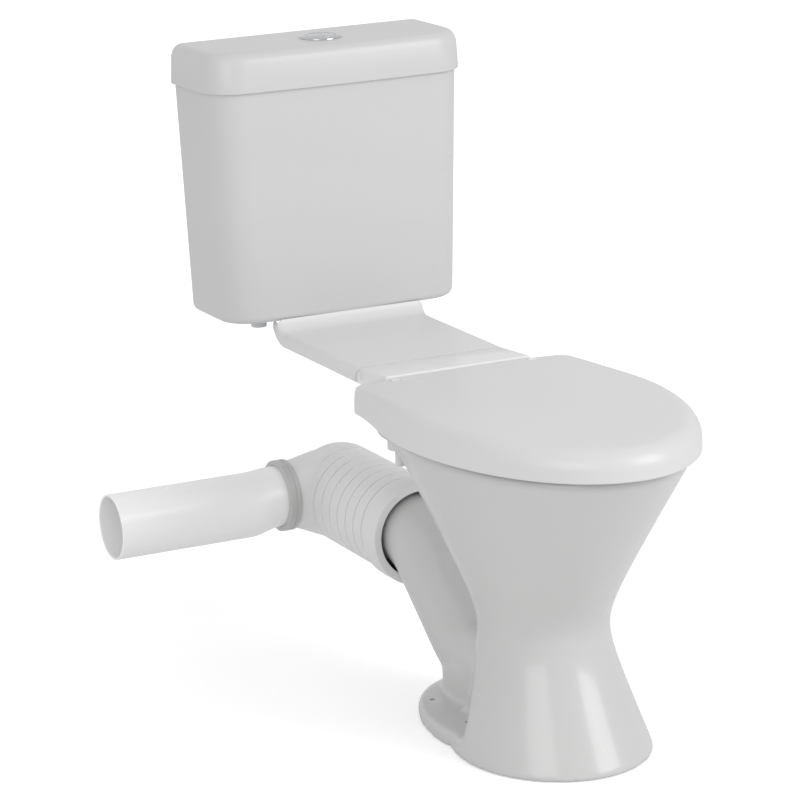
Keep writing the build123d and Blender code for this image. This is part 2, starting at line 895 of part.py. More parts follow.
def fill_valve():
    """Shank, column and head of the fill valve."""
    floor_z = tank_low_z + tank_wall + fill_washer_height
    valve = rod_z(fill_shank_radius, fill_x, fill_y, tank_low_z - fill_shank_length, floor_z)
    valve += rod_z(fill_thread_radius, fill_x, fill_y, tank_low_z - fill_nut_height, floor_z)
    valve += rod_z(fill_flange_radius, fill_x, fill_y, floor_z, floor_z + fill_flange_height)
    valve += rod_z(fill_column_radius, fill_x, fill_y, floor_z, fill_head_z)
    head_top = fill_head_z + fill_head_height
    valve += rod_z(fill_head_radius, fill_x, fill_y, fill_head_z, head_top)
    spout_z = fill_head_z + fill_head_height / 2
    valve += rod_x(
        fill_outlet_radius, fill_y, spout_z, fill_x, fill_x + fill_head_radius + fill_outlet_length
    )
    bore_low = tank_low_z - fill_shank_length - overrun
    return valve - rod_z(fill_column_bore, fill_x, fill_y, bore_low, spout_z)


def fill_washer():
    """The rubber washer inside the tank, under the fill valve."""
    low = tank_low_z + tank_wall
    high = low + fill_washer_height
    return tube_z(fill_washer_radius, fill_thread_radius, fill_x, fill_y, low, high)


def fill_nut():
    """The nut that holds the fill valve from below."""
    return hex_nut(
        fill_nut_radius, fill_thread_radius, fill_x, fill_y, tank_low_z - fill_nut_height, tank_low_z
    )


def float_cup():
    """The float: an upturned cup that slides on the fill valve's column."""
    low = float_low_z
    top = float_low_z + float_height
    bore = fill_column_radius + loose_gap
    cup = tube_z(float_radius, bore, fill_x, fill_y, low, top)
    room = tube_z(
        float_radius - float_wall, bore + float_wall, fill_x, fill_y, low - overrun, top - float_wall
    )
    return cup - room


def flush_pipe():
    """The bent pipe from the cistern to the pan."""
    top = tank_low_z - flush_pipe_top_gap
    end = inlet_boss_end_y - flush_pipe_entry
    path = FilletPolyline(
        (0, valve_y, top), (0, valve_y, inlet_z), (0, end, inlet_z), radius=flush_pipe_bend
    )
    start = Plane(path @ 0, z_dir=path % 0)
    wall = Circle(flush_pipe_radius) - Circle(flush_pipe_radius - flush_pipe_wall)
    return sweep(start * wall, path=path)


def flush_cone_seal():
    """The rubber cone that seals the flush pipe in the pan."""
    end = inlet_boss_end_y
    plug = rod_y(inlet_seal_bore_radius, 0, inlet_z, end - flush_pipe_entry, end)
    lip = rod_y(inlet_boss_radius, 0, inlet_z, end, end + cone_lip_length)
    return plug + lip - rod_y(
        flush_pipe_radius, 0, inlet_z, end - flush_pipe_entry - overrun, end + cone_lip_length + overrun
    )


def link_body(wall, half_front, half_back):
    """A solid with the link's side profile and tapered plan, drawn in by a wall."""
    front = bar_back_y + link_front_gap
    top = link_top_z - wall
    rise_y = tank_low_front_y + tank_bow / 2 + wall
    profile = make_face(
        Polyline(
            (0, front - overrun, link_low_z - (overrun if wall else 0)),
            (0, front - overrun, top),
            (0, rise_y - link_rise_radius, top),
            (0, rise_y, tank_low_z + (overrun if wall else 0)),
            (0, link_back_y + overrun, tank_low_z + (overrun if wall else 0)),
            (0, link_back_y + overrun, link_low_z - (overrun if wall else 0)),
            close=True,
        )
    )
    slab = extrude(profile, amount=half_back + overrun, dir=(1, 0, 0), both=True)
    low = link_low_z - 2 * overrun
    grow = (half_back - half_front) / (link_back_y - front)
    front_edge = front - (overrun if wall else 0)
    back_edge = link_back_y + (overrun if wall else 0)
    at_front = half_front - grow * (front - front_edge)
    at_back = half_back + grow * (back_edge - link_back_y)
    plan = make_face(
        Polyline(
            (-at_front, front_edge, low), (at_front, front_edge, low),
            (at_back, back_edge, low), (-at_back, back_edge, low), close=True,
        )
    )
    return slab & extrude(plan, amount=tank_low_z - low + 2 * overrun, dir=(0, 0, 1))


def link_cover():
    """The cover over the flush pipe: a low channel, open below."""
    outer = link_body(0, link_front_half_width, link_back_half_width)
    top_edges = outer.edges().filter_by(
        lambda edge: edge.center().Z > link_top_z - link_wall
        and abs(edge.center().X) > link_front_half_width - link_wall
    )
    outer = fillet(top_edges, link_edge_radius)
    inner = link_body(link_wall, link_front_half_width - link_wall, link_back_half_width - link_wall)
    return outer - inner


# Connector, swivel and waste pipe

def neck_cone(ball_radius, end_radius):
    """The cone between the connector's round end and its neck."""
    start_radius = math.sqrt(ball_radius ** 2 - neck_start_x ** 2) - loose_gap
    return loft([
        Plane((neck_start_x, socket_back_y, outlet_z), z_dir=(-1, 0, 0)) * Circle(start_radius),
        Plane((neck_end_x, neck_y, neck_z), z_dir=(-1, 0, 0)) * Circle(end_radius),
    ])


def pan_connector():
    """The grooved socket on the horn, with a neck to the left."""
    lip_end = socket_mouth_y + socket_lip_length
    lip = rod_y(socket_lip_radius, 0, outlet_z, socket_mouth_y, lip_end)
    lip = fillet(lip.edges(), socket_lip_round)
    body = rod_y(socket_radius, 0, outlet_z, socket_mouth_y + socket_lip_edge, socket_back_y)
    dome = Pos(0, socket_back_y, outlet_z) * Sphere(socket_radius)
    cone = neck_cone(socket_radius, neck_end_radius)
    neck = rod_x(neck_end_radius, neck_y, neck_z, neck_tip_x, neck_end_x)
    outer = lip + body + dome + cone + neck
    for index in range(groove_count):
        y = first_groove_y + index * groove_pitch
        ring = rod_y(socket_radius + overrun, 0, outlet_z, y - groove_width / 2, y + groove_width / 2)
        core = rod_y(socket_radius - groove_depth, 0, outlet_z, y - groove_width, y + groove_width)
        outer -= ring - core - cone - neck
    bore_end = socket_mouth_y + socket_bore_depth
    bore = rod_y(socket_bore_radius, 0, outlet_z, socket_mouth_y - overrun, bore_end)
    chamber = rod_y(socket_inner_radius, 0, outlet_z, bore_end - overrun, socket_back_y)
    inner_dome = Pos(0, socket_back_y, outlet_z) * Sphere(socket_inner_radius)
    inner_cone = neck_cone(socket_inner_radius, neck_end_radius - neck_wall)
    inner_radius = neck_end_radius - neck_wall
    inner_neck = rod_x(inner_radius, neck_y, neck_z, neck_tip_x - overrun, neck_end_x)
    return outer - bore - chamber - inner_dome - inner_cone - inner_neck


def socket_seal():
    """The black rubber seal between horn and socket, with fins."""
    seal = rod_y(socket_bore_radius, 0, outlet_z, seal_start_y, seal_start_y + seal_length)
    fin_pitch = seal_length / seal_fin_count
    for index in range(seal_fin_count):
        start = seal_start_y + (index + 0.5) * fin_pitch
        band = rod_y(socket_bore_radius + overrun, 0, outlet_z, start, start + fin_pitch / 2)
        core_radius = socket_bore_radius - seal_fin_depth
        core = rod_y(core_radius, 0, outlet_z, start - overrun, start + fin_pitch)
        seal -= band - core
    return seal - rod_y(
        horn_radius, 0, outlet_z, seal_start_y - overrun, seal_start_y + seal_length + overrun
    )


def swivel_ring():
    """The collar that holds the waste pipe in the neck."""
    end = swivel_ring_end_x - swivel_ring_lip
    ring = rod_x(swivel_ring_radius, neck_y, neck_z, end, swivel_ring_start_x)
    ring = fillet(ring.edges(), swivel_ring_round)
    ring -= rod_x(neck_end_radius, neck_y, neck_z, neck_tip_x, swivel_ring_start_x + overrun)
    return ring - rod_x(
        pipe_spigot_radius + slide_gap, neck_y, neck_z, swivel_ring_end_x - 2 * swivel_ring_lip, neck_tip_x
    )


def waste_pipe_body(radius, spigot_radius, grow):
    """A bar with the waste pipe's bend, used for its outside and its bore."""
    spigot = rod_x(spigot_radius, neck_y, neck_z, neck_tip_x, pipe_spigot_x + grow)
    y = neck_y + pipe_shift_y
    z = neck_z + pipe_shift_z
    middle_x = (neck_tip_x + pipe_bend_end_x) / 2
    spigot_end_x = neck_tip_x - 2 * swivel_ring_lip
    bend = loft([
        Plane((neck_tip_x, neck_y, neck_z), z_dir=(-1, 0, 0)) * Circle(spigot_radius),
        Plane((spigot_end_x, neck_y, neck_z), z_dir=(-1, 0, 0)) * Circle(spigot_radius),
        Plane((middle_x, neck_y + pipe_shift_y / 2, neck_z + pipe_shift_z / 2), z_dir=(-1, 0, 0))
        * Circle((radius + spigot_radius) / 2 + grow / 4),
        Plane((pipe_bend_end_x + swivel_ring_lip, y, z), z_dir=(-1, 0, 0)) * Circle(radius),
        Plane((pipe_bend_end_x, y, z), z_dir=(-1, 0, 0)) * Circle(radius),
    ])
    straight = rod_x(radius, y, z, pipe_end_x - grow, pipe_bend_end_x)
    return spigot + bend + straight


def waste_pipe():
    """The offset waste pipe, open at its left end."""
    outer = waste_pipe_body(pipe_radius, pipe_spigot_radius, 0)
    inner = waste_pipe_body(pipe_radius - pipe_wall, pipe_spigot_radius - pipe_wall, overrun)
    return outer - inner


def neck_seal():
    """The rubber ring between the neck and the pipe's spigot."""
    middle = (neck_tip_x + pipe_spigot_x) / 2
    ring = rod_x(
        neck_end_radius - neck_wall, neck_y, neck_z,
        middle - neck_seal_width / 2, middle + neck_seal_width / 2,
    )
    return ring - rod_x(
        pipe_spigot_radius + running_gap, neck_y, neck_z, middle - neck_seal_width, middle + neck_seal_width
    )


# One file for each piece

def save(name, shape):
    """Writes one piece, or a group of equal pieces."""
    solids = []
    for item in shape if isinstance(shape, list) else [shape]:
        solids.extend(item.solids())
    whole = Compound(children=solids) if len(solids) > 1 else solids[0]
    export_step(whole, f"parts/{name}.step")
    print(f"{name}: {len(solids)} solid(s)")


def main():
    """Builds every piece in turn."""
    os.makedirs("parts", exist_ok=True)
    makers = (
        pan, hinge_bar, hinge_pins, hinge_bolts, hinge_nuts,
        seat_ring, seat_buffers, seat_lid, lid_buffers,
        cistern_tank, cistern_lid, button_bezel, bezel_nut,
        flush_valve_frame, flush_valve_tube, flush_valve_seal, outlet_washer, outlet_nut,
        fill_valve, fill_washer, fill_nut, float_cup,
        flush_pipe, flush_cone_seal, link_cover,
        pan_connector, socket_seal, swivel_ring, waste_pipe, neck_seal,
    )
    for maker in makers:
        save(maker.__name__, maker())
    save("full_flush_button", button_half(1))
    save("half_flush_button", button_half(-1))


if __name__ == "__main__":
    main()
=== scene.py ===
import logging
import math
from contextlib import contextmanager
from dataclasses import astuple, dataclass
from enum import Enum
from functools import lru_cache
from typing import Callable, Iterator, Optional, Sequence, Union

import bmesh
import bpy
from mathutils import Matrix, Vector


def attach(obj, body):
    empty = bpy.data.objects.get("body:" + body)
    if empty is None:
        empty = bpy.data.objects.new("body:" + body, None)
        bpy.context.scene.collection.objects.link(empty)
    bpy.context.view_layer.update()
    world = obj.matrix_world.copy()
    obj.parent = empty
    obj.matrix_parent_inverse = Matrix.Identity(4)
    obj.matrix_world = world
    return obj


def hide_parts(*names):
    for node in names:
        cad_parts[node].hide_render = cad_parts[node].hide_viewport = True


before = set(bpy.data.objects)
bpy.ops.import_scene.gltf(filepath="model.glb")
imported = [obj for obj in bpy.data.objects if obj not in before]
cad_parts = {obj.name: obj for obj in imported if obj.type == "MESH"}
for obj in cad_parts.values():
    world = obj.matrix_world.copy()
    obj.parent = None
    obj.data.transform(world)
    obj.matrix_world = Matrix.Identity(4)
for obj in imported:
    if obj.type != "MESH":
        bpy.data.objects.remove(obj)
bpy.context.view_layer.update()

# Every piece is modelled in millimetres and brought to metres when it is finished.
MILLIMETRE = 0.001
# An edge whose direction has this much of an axis runs along it.
ALONG = 0.9
LOG = logging.getLogger("suite")
Number = Union[int, float]
Ring = Sequence[Vector]


class Axis(Enum):
    """The direction that a round shape runs along."""

    X = 0
    Y = 1
    Z = 2


class Work(Enum):
    """What a tool solid does to a piece."""

    CUT = "DIFFERENCE"
    JOIN = "UNION"


class Body(Enum):
    """The moving bodies of the suite."""

    SUITE = "suite"
    SEAT = "seat"
    SEAT_LID = "seat_lid"
    CISTERN_LID = "cistern_lid"
    FULL_BUTTON = "full_button"
    HALF_BUTTON = "half_button"
    FLUSH_VALVE = "flush_valve"
    FLOAT = "float"
    WASTE_PIPE = "waste_pipe"


# Shader sums

class Signal:
    """One output of a shader node, on which sums can be written."""

    def __init__(self, graph: "Graph", socket: bpy.types.NodeSocket) -> None:
        """Keeps the graph and the socket.

        Args:
            graph: The material's graph that new nodes go into.
            socket: The output that this signal stands for.
        """
        self.graph = graph
        self.socket = socket

    def _sum(self, operation: str, first: "Feed", second: "Feed") -> "Signal":
        """Adds one Math node.

        Args:
            operation: The node's operation.
            first: The first value or signal.
            second: The second value or signal.

        Returns:
            The node's output.
        """
        return self.graph.node("ShaderNodeMath", {"operation": operation}, {0: first, 1: second})

    def __add__(self, other: "Feed") -> "Signal":
        """This plus another."""
        return self._sum("ADD", self, other)

    def __sub__(self, other: "Feed") -> "Signal":
        """This minus another."""
        return self._sum("SUBTRACT", self, other)

    def __rsub__(self, other: "Feed") -> "Signal":
        """Another minus this."""
        return self._sum("SUBTRACT", other, self)

    def __mul__(self, other: "Feed") -> "Signal":
        """This times another."""
        return self._sum("MULTIPLY", self, other)

    def between(self, low: float, high: float) -> "Signal":
        """This, brought from 0 and 1 to two other limits."""
        return self * (high - low) + low

    __radd__ = __add__
    __rmul__ = __mul__


Feed = Union[Number, tuple, Signal]


class Graph:
    """The node tree of one material."""

    def __init__(self, name: str) -> None:
        """Starts a material with its Principled shader.

        Args:
            name: The material's name.
        """
        self.material = bpy.data.materials.new(name)
        self.material.use_nodes = True
        self.tree = self.material.node_tree
        self.shader = self.tree.nodes["Principled BSDF"]
        self.place = self.node("ShaderNodeTexCoord", {}, {}, output="Object")

    def node(self, kind: str, settings: dict, feeds: dict, output: Union[int, str] = 0) -> Signal:
        """Adds any node.

        Args:
            kind: The node's type.
            settings: Its properties, set first; "stops" fills a colour ramp.
            feeds: Values or signals for its inputs, by name or number.
            output: The output wanted.

        Returns:
            That output as a signal.
        """
        made = self.tree.nodes.new(kind)
        for key, value in settings.items():
            if key == "stops":
                self._fill_ramp(made.color_ramp, value)
            else:
                setattr(made, key, value)
        for key, value in feeds.items():
            self.feed(made.inputs[key], value)
        return Signal(self, made.outputs[output])

    @staticmethod
    def _fill_ramp(ramp: bpy.types.ColorRamp, stops: Sequence[tuple[float, tuple]]) -> None:
        """Writes a colour ramp's stops.

        Args:
            ramp: The ramp.
            stops: Pairs of position and colour, at least two.
        """
        while len(ramp.elements) < len(stops):
            ramp.elements.new(1.0)
        for element, (position, colour) in zip(ramp.elements, stops):
            element.position = position
            element.color = (*colour, 1.0)

    def feed(self, socket: bpy.types.NodeSocket, value: Feed) -> None:
        """Links a signal to an input, or writes a value there.

        Args:
            socket: The input.
            value: A signal, number or tuple.
        """
        if isinstance(value, Signal):
            self.tree.links.new(value.socket, socket)
        elif isinstance(value, tuple) and len(socket.default_value) > len(value):
            socket.default_value = (*value, 1.0)
        else:
            socket.default_value = value

    def shade(self, feeds: dict) -> None:
        """Feeds inputs of the Principled shader.

        Args:
            feeds: Values or signals, by the input's name.
        """
        for name, value in feeds.items():
            self.feed(self.shader.inputs[name], value)

    def noise(
        self, scale: float, detail: float = 2.0, roughness: float = 0.5, swirl: float = 0.0,
        stretch: Optional[tuple] = None,
    ) -> Signal:
        """A soft random pattern on the piece.

        Args:
            scale: Patches to the metre.
            detail: Steps of finer pattern.
            roughness: Strength of the finer pattern.
            swirl: How far the pattern is distorted.
            stretch: How much finer it is along each axis, if it is stretched.

        Returns:
            Values from about 0 to 1.
        """
        place = self.place
        if stretch:
            place = self.node("ShaderNodeMapping", {}, {"Vector": place, "Scale": stretch})
        feeds = {"Vector": place, "Scale": scale, "Detail": detail}
        feeds.update({"Roughness": roughness, "Distortion": swirl})
        return self.node("ShaderNodeTexNoise", {}, feeds, output="Fac")

    def blend(self, share: Feed, first: Feed, second: Feed) -> Signal:
        """Mixes two colours.

        Args:
            share: How much of the second colour, from 0 to 1.
            first: The first colour.
            second: The second colour.

        Returns:
            The mixed colour.
        """
        return self.node("ShaderNodeMix", {"data_type": "RGBA"}, {0: share, 6: first, 7: second}, output=2)

    def bump(self, height: Signal, strength: float, distance: float) -> None:
        """Raises the surface's normal by a height pattern.

        Args:
            height: The pattern.
            strength: How much of it shows.
            distance: The height of a full step, in metres.
        """
        feeds = {"Strength": strength, "Distance": distance, "Height": height}
        self.shade({"Normal": self.node("ShaderNodeBump", {}, feeds, output="Normal")})


# Finishes

@dataclass(frozen=True)
class Glaze:
    """Fired sanitary glaze: deep gloss, faint ripple, slight pooling of its tone."""

    name: str = "sanitary_glaze"
    tone: tuple = (0.622, 0.618, 0.613)
    pooled_tone: tuple = (0.578, 0.579, 0.581)
    pool_scale: float = 5.0
    speck_scale: float = 420.0
    speck_start: float = 0.74
    speck_full: float = 0.80
    speck_share: float = 0.35
    speck_shade: float = 0.9
    wipe_scale: float = 14.0
    gloss_low: float = 0.20
    gloss_high: float = 0.30
    coat: float = 0.3
    coat_gloss: float = 0.08
    refraction: float = 1.52
    ripple_scale: float = 38.0
    fine_ripple_scale: float = 150.0
    fine_ripple: float = 0.2
    ripple: float = 0.12
    ripple_height: float = 0.0006

    def material(self) -> bpy.types.Material:
        """Builds the material.

        Returns:
            The material.
        """
        graph = Graph(self.name)
        specks = graph.node(
            "ShaderNodeValToRGB",
            {"stops": [(self.speck_start, (0.0, 0.0, 0.0)), (self.speck_full, (1.0, 1.0, 1.0))]},
            {"Fac": graph.noise(self.speck_scale, detail=1.0)},
        )
        body = graph.blend(graph.noise(self.pool_scale, detail=3.0), self.tone, self.pooled_tone)
        darker = tuple(channel * self.speck_shade for channel in self.pooled_tone)
        wiped = graph.noise(self.wipe_scale, detail=4.0)
        graph.shade({
            "Base Color": graph.blend(specks * self.speck_share, body, darker),
            "Roughness": wiped.between(self.gloss_low, self.gloss_high),
            "Coat Weight": self.coat,
            "Coat Roughness": self.coat_gloss,
            "IOR": self.refraction,
        })
        fine = graph.noise(self.fine_ripple_scale, detail=1.0) * self.fine_ripple
        graph.bump(graph.noise(self.ripple_scale, detail=1.0) + fine, self.ripple, self.ripple_height)
        return graph.material


@dataclass(frozen=True)
class MouldedPlastic:
    """Injection-moulded plastic: even tone, faint flow marks and a fine grain."""

    name: str
    tone: tuple
    flow_tone: tuple
    gloss_low: float
    gloss_high: float
    coat: float = 0.0
    grain: float = 0.06
    grain_scale: float = 900.0
    grain_height: float = 0.0003
    sink_scale: float = 30.0
    sink: float = 2.0
    flow_scale: float = 4.0
    flow_stretch: tuple = (1.0, 1.0, 2.6)
    flow_swirl: float = 0.6
    wipe_scale: float = 9.0

    def material(self) -> bpy.types.Material:
        """Builds the material.

        Returns:
            The material.
        """
        graph = Graph(self.name)
        flow = graph.noise(self.flow_scale, detail=3.0, swirl=self.flow_swirl, stretch=self.flow_stretch)
        wiped = graph.noise(self.wipe_scale, detail=5.0, roughness=0.6)
        graph.shade({
            "Base Color": graph.blend(flow, self.tone, self.flow_tone),
            "Roughness": wiped.between(self.gloss_low, self.gloss_high),
            "Coat Weight": self.coat,
        })
        sinks = graph.noise(self.sink_scale, detail=1.0) * self.sink
        graph.bump(graph.noise(self.grain_scale) + sinks, self.grain, self.grain_height)
        return graph.material


@dataclass(frozen=True)
class PolishedMetal:
    """Plated or drawn metal with a fine wiping direction."""

    name: str
    tone: tuple = (0.62, 0.63, 0.65)
    worn_tone: tuple = (0.50, 0.51, 0.53)
    gloss_low: float = 0.05
    gloss_high: float = 0.16
    streak_scale: float = 260.0
    stretch: tuple = (1.0, 1.0, 1.0)
    streak: float = 0.05
    streak_height: float = 0.0001

    def material(self) -> bpy.types.Material:
        """Builds the material.

        Returns:
            The material.
        """
        graph = Graph(self.name)
        streaks = graph.noise(self.streak_scale, detail=3.0, stretch=self.stretch)
        graph.shade({
            "Base Color": graph.blend(streaks, self.tone, self.worn_tone),
            "Metallic": 1.0,
            "Roughness": streaks.between(self.gloss_low, self.gloss_high),
        })
        graph.bump(streaks, self.streak, self.streak_height)
        return graph.material


@dataclass(frozen=True)
class Rubber:
    """Black rubber with a dusty bloom."""

    name: str = "seal_rubber"
    tone: tuple = (0.018, 0.018, 0.019)
    bloom: tuple = (0.055, 0.055, 0.056)
    dust_scale: float = 60.0
    gloss_low: float = 0.5
    gloss_high: float = 0.75
    grain_scale: float = 700.0
    grain: float = 0.15
    grain_height: float = 0.0003

    def material(self) -> bpy.types.Material:
        """Builds the material.

        Returns:
            The material.
        """
        graph = Graph(self.name)
        dust = graph.noise(self.dust_scale, detail=4.0)
        graph.shade({
            "Base Color": graph.blend(dust, self.tone, self.bloom),
            "Roughness": dust.between(self.gloss_low, self.gloss_high),
        })
        graph.bump(graph.noise(self.grain_scale), self.grain, self.grain_height)
        return graph.material


class Finish(Enum):
    """Every finish of the suite, with the record's slot that it belongs to."""

    GLAZE = (Glaze(), "glazed_ceramic")
    SEAT = (
        MouldedPlastic("seat_plastic", tone=(0.715, 0.714, 0.712), flow_tone=(0.675, 0.676, 0.678),
                       gloss_low=0.26, gloss_high=0.36, coat=0.05),
        "gloss_plastic",
    )
    HINGE = (
        MouldedPlastic("hinge_plastic", tone=(0.80, 0.80, 0.80), flow_tone=(0.765, 0.766, 0.768),
                       gloss_low=0.2, gloss_high=0.3, coat=0.15),
        "gloss_plastic",
    )
    LINK = (
        MouldedPlastic("link_plastic", tone=(0.745, 0.743, 0.743), flow_tone=(0.71, 0.709, 0.71),
                       gloss_low=0.3, gloss_high=0.4, grain=0.015),
        "gloss_plastic",
    )
    CISTERN = (
        MouldedPlastic("cistern_plastic", tone=(0.64, 0.637, 0.637), flow_tone=(0.608, 0.606, 0.608),
                       gloss_low=0.24, gloss_high=0.36),
        "gloss_plastic",
    )
    CONNECTOR = (
        MouldedPlastic("connector_plastic", tone=(0.80, 0.796, 0.792), flow_tone=(0.765, 0.764, 0.763),
                       gloss_low=0.3, gloss_high=0.4, grain=0.02),
        "gloss_plastic",
    )
    # Darker copy of the connector plastic: its tone below the connector's is painted shade on the swivel
    # ring.
    COLLAR = (
        MouldedPlastic("collar_plastic_painted_shade", tone=(0.56, 0.555, 0.552), flow_tone=(0.53, 0.527, 0.525),
                       gloss_low=0.3, gloss_high=0.4, grain=0.02),
        "gloss_plastic",
    )
    # Near-white copy of the connector plastic: its tone above the connector's is painted light, standing in
    # for light that the pan and seat keep off the pipes.
    PIPE = (
        MouldedPlastic("pipe_plastic_painted_light", tone=(0.99, 0.99, 0.99), flow_tone=(0.965, 0.967, 0.97),
                       gloss_low=0.2, gloss_high=0.32),
        "gloss_plastic",
    )
    VALVE = (
        MouldedPlastic("valve_plastic", tone=(0.66, 0.68, 0.70), flow_tone=(0.60, 0.62, 0.65),
                       gloss_low=0.4, gloss_high=0.55, grain=0.15, grain_scale=600.0),
        "matte_plastic",
    )
    FLOAT = (
        MouldedPlastic("float_plastic", tone=(0.16, 0.28, 0.46), flow_tone=(0.13, 0.24, 0.41),
                       gloss_low=0.35, gloss_high=0.5, grain=0.12, grain_scale=600.0),
        "matte_plastic",
    )
    NUT = (
        MouldedPlastic("nut_plastic", tone=(0.10, 0.10, 0.105), flow_tone=(0.07, 0.07, 0.075),
                       gloss_low=0.4, gloss_high=0.6, grain=0.15, grain_scale=600.0),
        "matte_plastic",
    )
    CHROME = (PolishedMetal("button_chrome"), "chrome")
    STEEL = (
        PolishedMetal("hinge_steel", tone=(0.5, 0.5, 0.5), worn_tone=(0.4, 0.4, 0.41),
                      gloss_low=0.2, gloss_high=0.35, stretch=(0.1, 1.0, 1.0)),
        "brushed_steel",
    )
    RUBBER = (Rubber(), "rubber")


@lru_cache(maxsize=None)
def material_of(finish: Finish) -> bpy.types.Material:
    """The one material that all pieces of a finish share.

    Args:
        finish: The finish.

    Returns:
        Its material.
    """
    return finish.value[0].material()


# Modelling by hand

def let_go() -> None:
    """Leaves edit mode and deselects every object."""
    if bpy.context.object and bpy.context.object.mode != "OBJECT":
        bpy.ops.object.mode_set(mode="OBJECT")
    bpy.ops.object.select_all(action="DESELECT")


def hold(piece: bpy.types.Object) -> None:
    """Makes one piece the only selected and the active one.

    Args:
        piece: The piece.
    """
    let_go()
    piece.select_set(True)
    bpy.context.view_layer.objects.active = piece


@contextmanager
def editing(piece: bpy.types.Object) -> Iterator[None]:
    """Opens a piece in edit mode, for its edges, with nothing of it selected.

    Args:
        piece: The piece.

    Yields:
        Nothing; edit mode closes afterwards.
    """
    hold(piece)
    bpy.ops.object.mode_set(mode="EDIT")
    bpy.ops.mesh.select_mode(type="EDGE")
    bpy.ops.mesh.select_all(action="DESELECT")
    yield
    bpy.ops.object.mode_set(mode="OBJECT")


def pick_edges(piece: bpy.types.Object, test: Callable[[Vector, Vector], bool]) -> None:
    """Selects the edges that pass a test, in edit mode.

    Args:
        piece: The piece that is being edited.
        test: Takes an edge's middle and direction.
    """
    mesh = bmesh.from_edit_mesh(piece.data)
    for edge in mesh.edges:
        start, end = edge.verts[0].co, edge.verts[1].co
        if test((start + end) / 2, (end - start).normalized()):
            edge.select_set(True)
    bmesh.update_edit_mesh(piece.data)


def modify(piece: bpy.types.Object, kind: str, **settings: object) -> None:
    """Adds a modifier and applies it.

    Args:
        piece: The piece.
        kind: The modifier's type.
        **settings: Its properties.
    """
    hold(piece)
    modifier = piece.modifiers.new(kind.lower(), kind)
    for key, value in settings.items():
        setattr(modifier, key, value)
    bpy.ops.object.modifier_apply(modifier=modifier.name)


def carve(piece: bpy.types.Object, tool: bpy.types.Object, work: Work = Work.CUT) -> None:
    """Cuts a tool solid away from a piece, or joins it on, and removes the tool.

    Args:
        piece: The piece.
        tool: The tool solid.
        work: Whether to cut or to join.
    """
    modify(piece, "BOOLEAN", operation=work.value, object=tool, solver="MANIFOLD")
    bpy.data.objects.remove(tool, do_unlink=True)


def add_block(name: str, low: Sequence[Number], high: Sequence[Number]) -> bpy.types.Object:
    """A block between two corners, as the start of a piece or tool.

    Args:
        name: Its name.
        low: The lowest corner.
        high: The highest corner.

    Returns:
        The block.
    """
    let_go()
    middle = [(a + b) / 2 for a, b in zip(low, high)]
    bpy.ops.mesh.primitive_cube_add(size=1, location=middle)
    block = bpy.context.object
    block.name = name
    block.scale = [b - a for a, b in zip(low, high)]
    bpy.ops.object.transform_apply(location=True, rotation=True, scale=True)
    return block


def circle(axis: Axis, centre: Sequence[Number], radius: float, count: int = 64) -> Ring:
    """Points round a circle that stands square to an axis.

    Args:
        axis: The axis.
        centre: The circle's centre.
        radius: Its radius.
        count: How many points.

    Returns:
        The points in order.
    """
    across = {Axis.X: (1, 2), Axis.Y: (2, 0), Axis.Z: (0, 1)}[axis]
    points = []
    for index in range(count):
        angle = 2 * math.pi * index / count
        place = Vector(centre)
        place[across[0]] += radius * math.cos(angle)
        place[across[1]] += radius * math.sin(angle)
        points.append(place)
    return points


class Tower:
    """A mesh that grows from one loop of edges by one extrusion after another."""

    def __init__(self, name: str, points: Ring) -> None:
        """Lays the first ring.

        Args:
            name: The piece's name.
            points: Where the ring's points lie.
        """
        let_go()
        bpy.ops.mesh.primitive_circle_add(vertices=len(points))
        self.piece = bpy.context.object
        self.piece.name = name
        bpy.ops.object.mode_set(mode="EDIT")
        bpy.ops.mesh.select_mode(type="EDGE")
        bpy.ops.mesh.select_all(action="SELECT")
        mesh = bmesh.from_edit_mesh(self.piece.data)
        order = mesh.verts.layers.int.new("order")
        for index, vertex in enumerate(mesh.verts):
            vertex[order] = index
        self._settle(points)

    def _settle(self, points: Ring) -> None:
        """Moves the selected ring to its place.

        Args:
            points: Where its points go, in their order.
        """
        mesh = bmesh.from_edit_mesh(self.piece.data)
        order = mesh.verts.layers.int["order"]
        for vertex in mesh.verts:
            if vertex.select:
                vertex.co = points[vertex[order]]
        bmesh.update_edit_mesh(self.piece.data)

    def grow(self, points: Ring) -> None:
        """Extrudes the last ring to a new place."""
        bpy.ops.mesh.extrude_edges_move(TRANSFORM_OT_translate={"value": (0, 0, 0)})
        self._settle(points)

    def closed(self) -> bpy.types.Object:
        """Fills both ends and turns all faces outwards.

        Returns:
            The piece.
        """
        bpy.ops.mesh.select_all(action="SELECT")
        bpy.ops.mesh.fill_holes(sides=0)
        return self._done()

    def looped(self) -> bpy.types.Object:
        """Bridges the last ring to the first.

        Returns:
            The piece.
        """
        bpy.ops.mesh.select_all(action="DESELECT")
        bpy.ops.mesh.select_mode(type="EDGE")
        bpy.ops.mesh.select_non_manifold()
        bpy.ops.mesh.bridge_edge_loops()
        return self._done()

    def _done(self) -> bpy.types.Object:
        """Leaves edit mode with clean normals.

        Returns:
            The piece.
        """
        bpy.ops.mesh.select_all(action="SELECT")
        bpy.ops.mesh.normals_make_consistent(inside=False)
        bpy.ops.object.mode_set(mode="OBJECT")
        self.piece.data.attributes.remove(self.piece.data.attributes["order"])
        return self.piece


def stacked(name: str, rings: Sequence[Ring]) -> Tower:
    """A tower grown through a row of rings.

    Args:
        name: The piece's name.
        rings: The rings from first to last.

    Returns:
        The tower, still open.
    """
    tower = Tower(name, rings[0])
    for ring in rings[1:]:
        tower.grow(ring)
    return tower


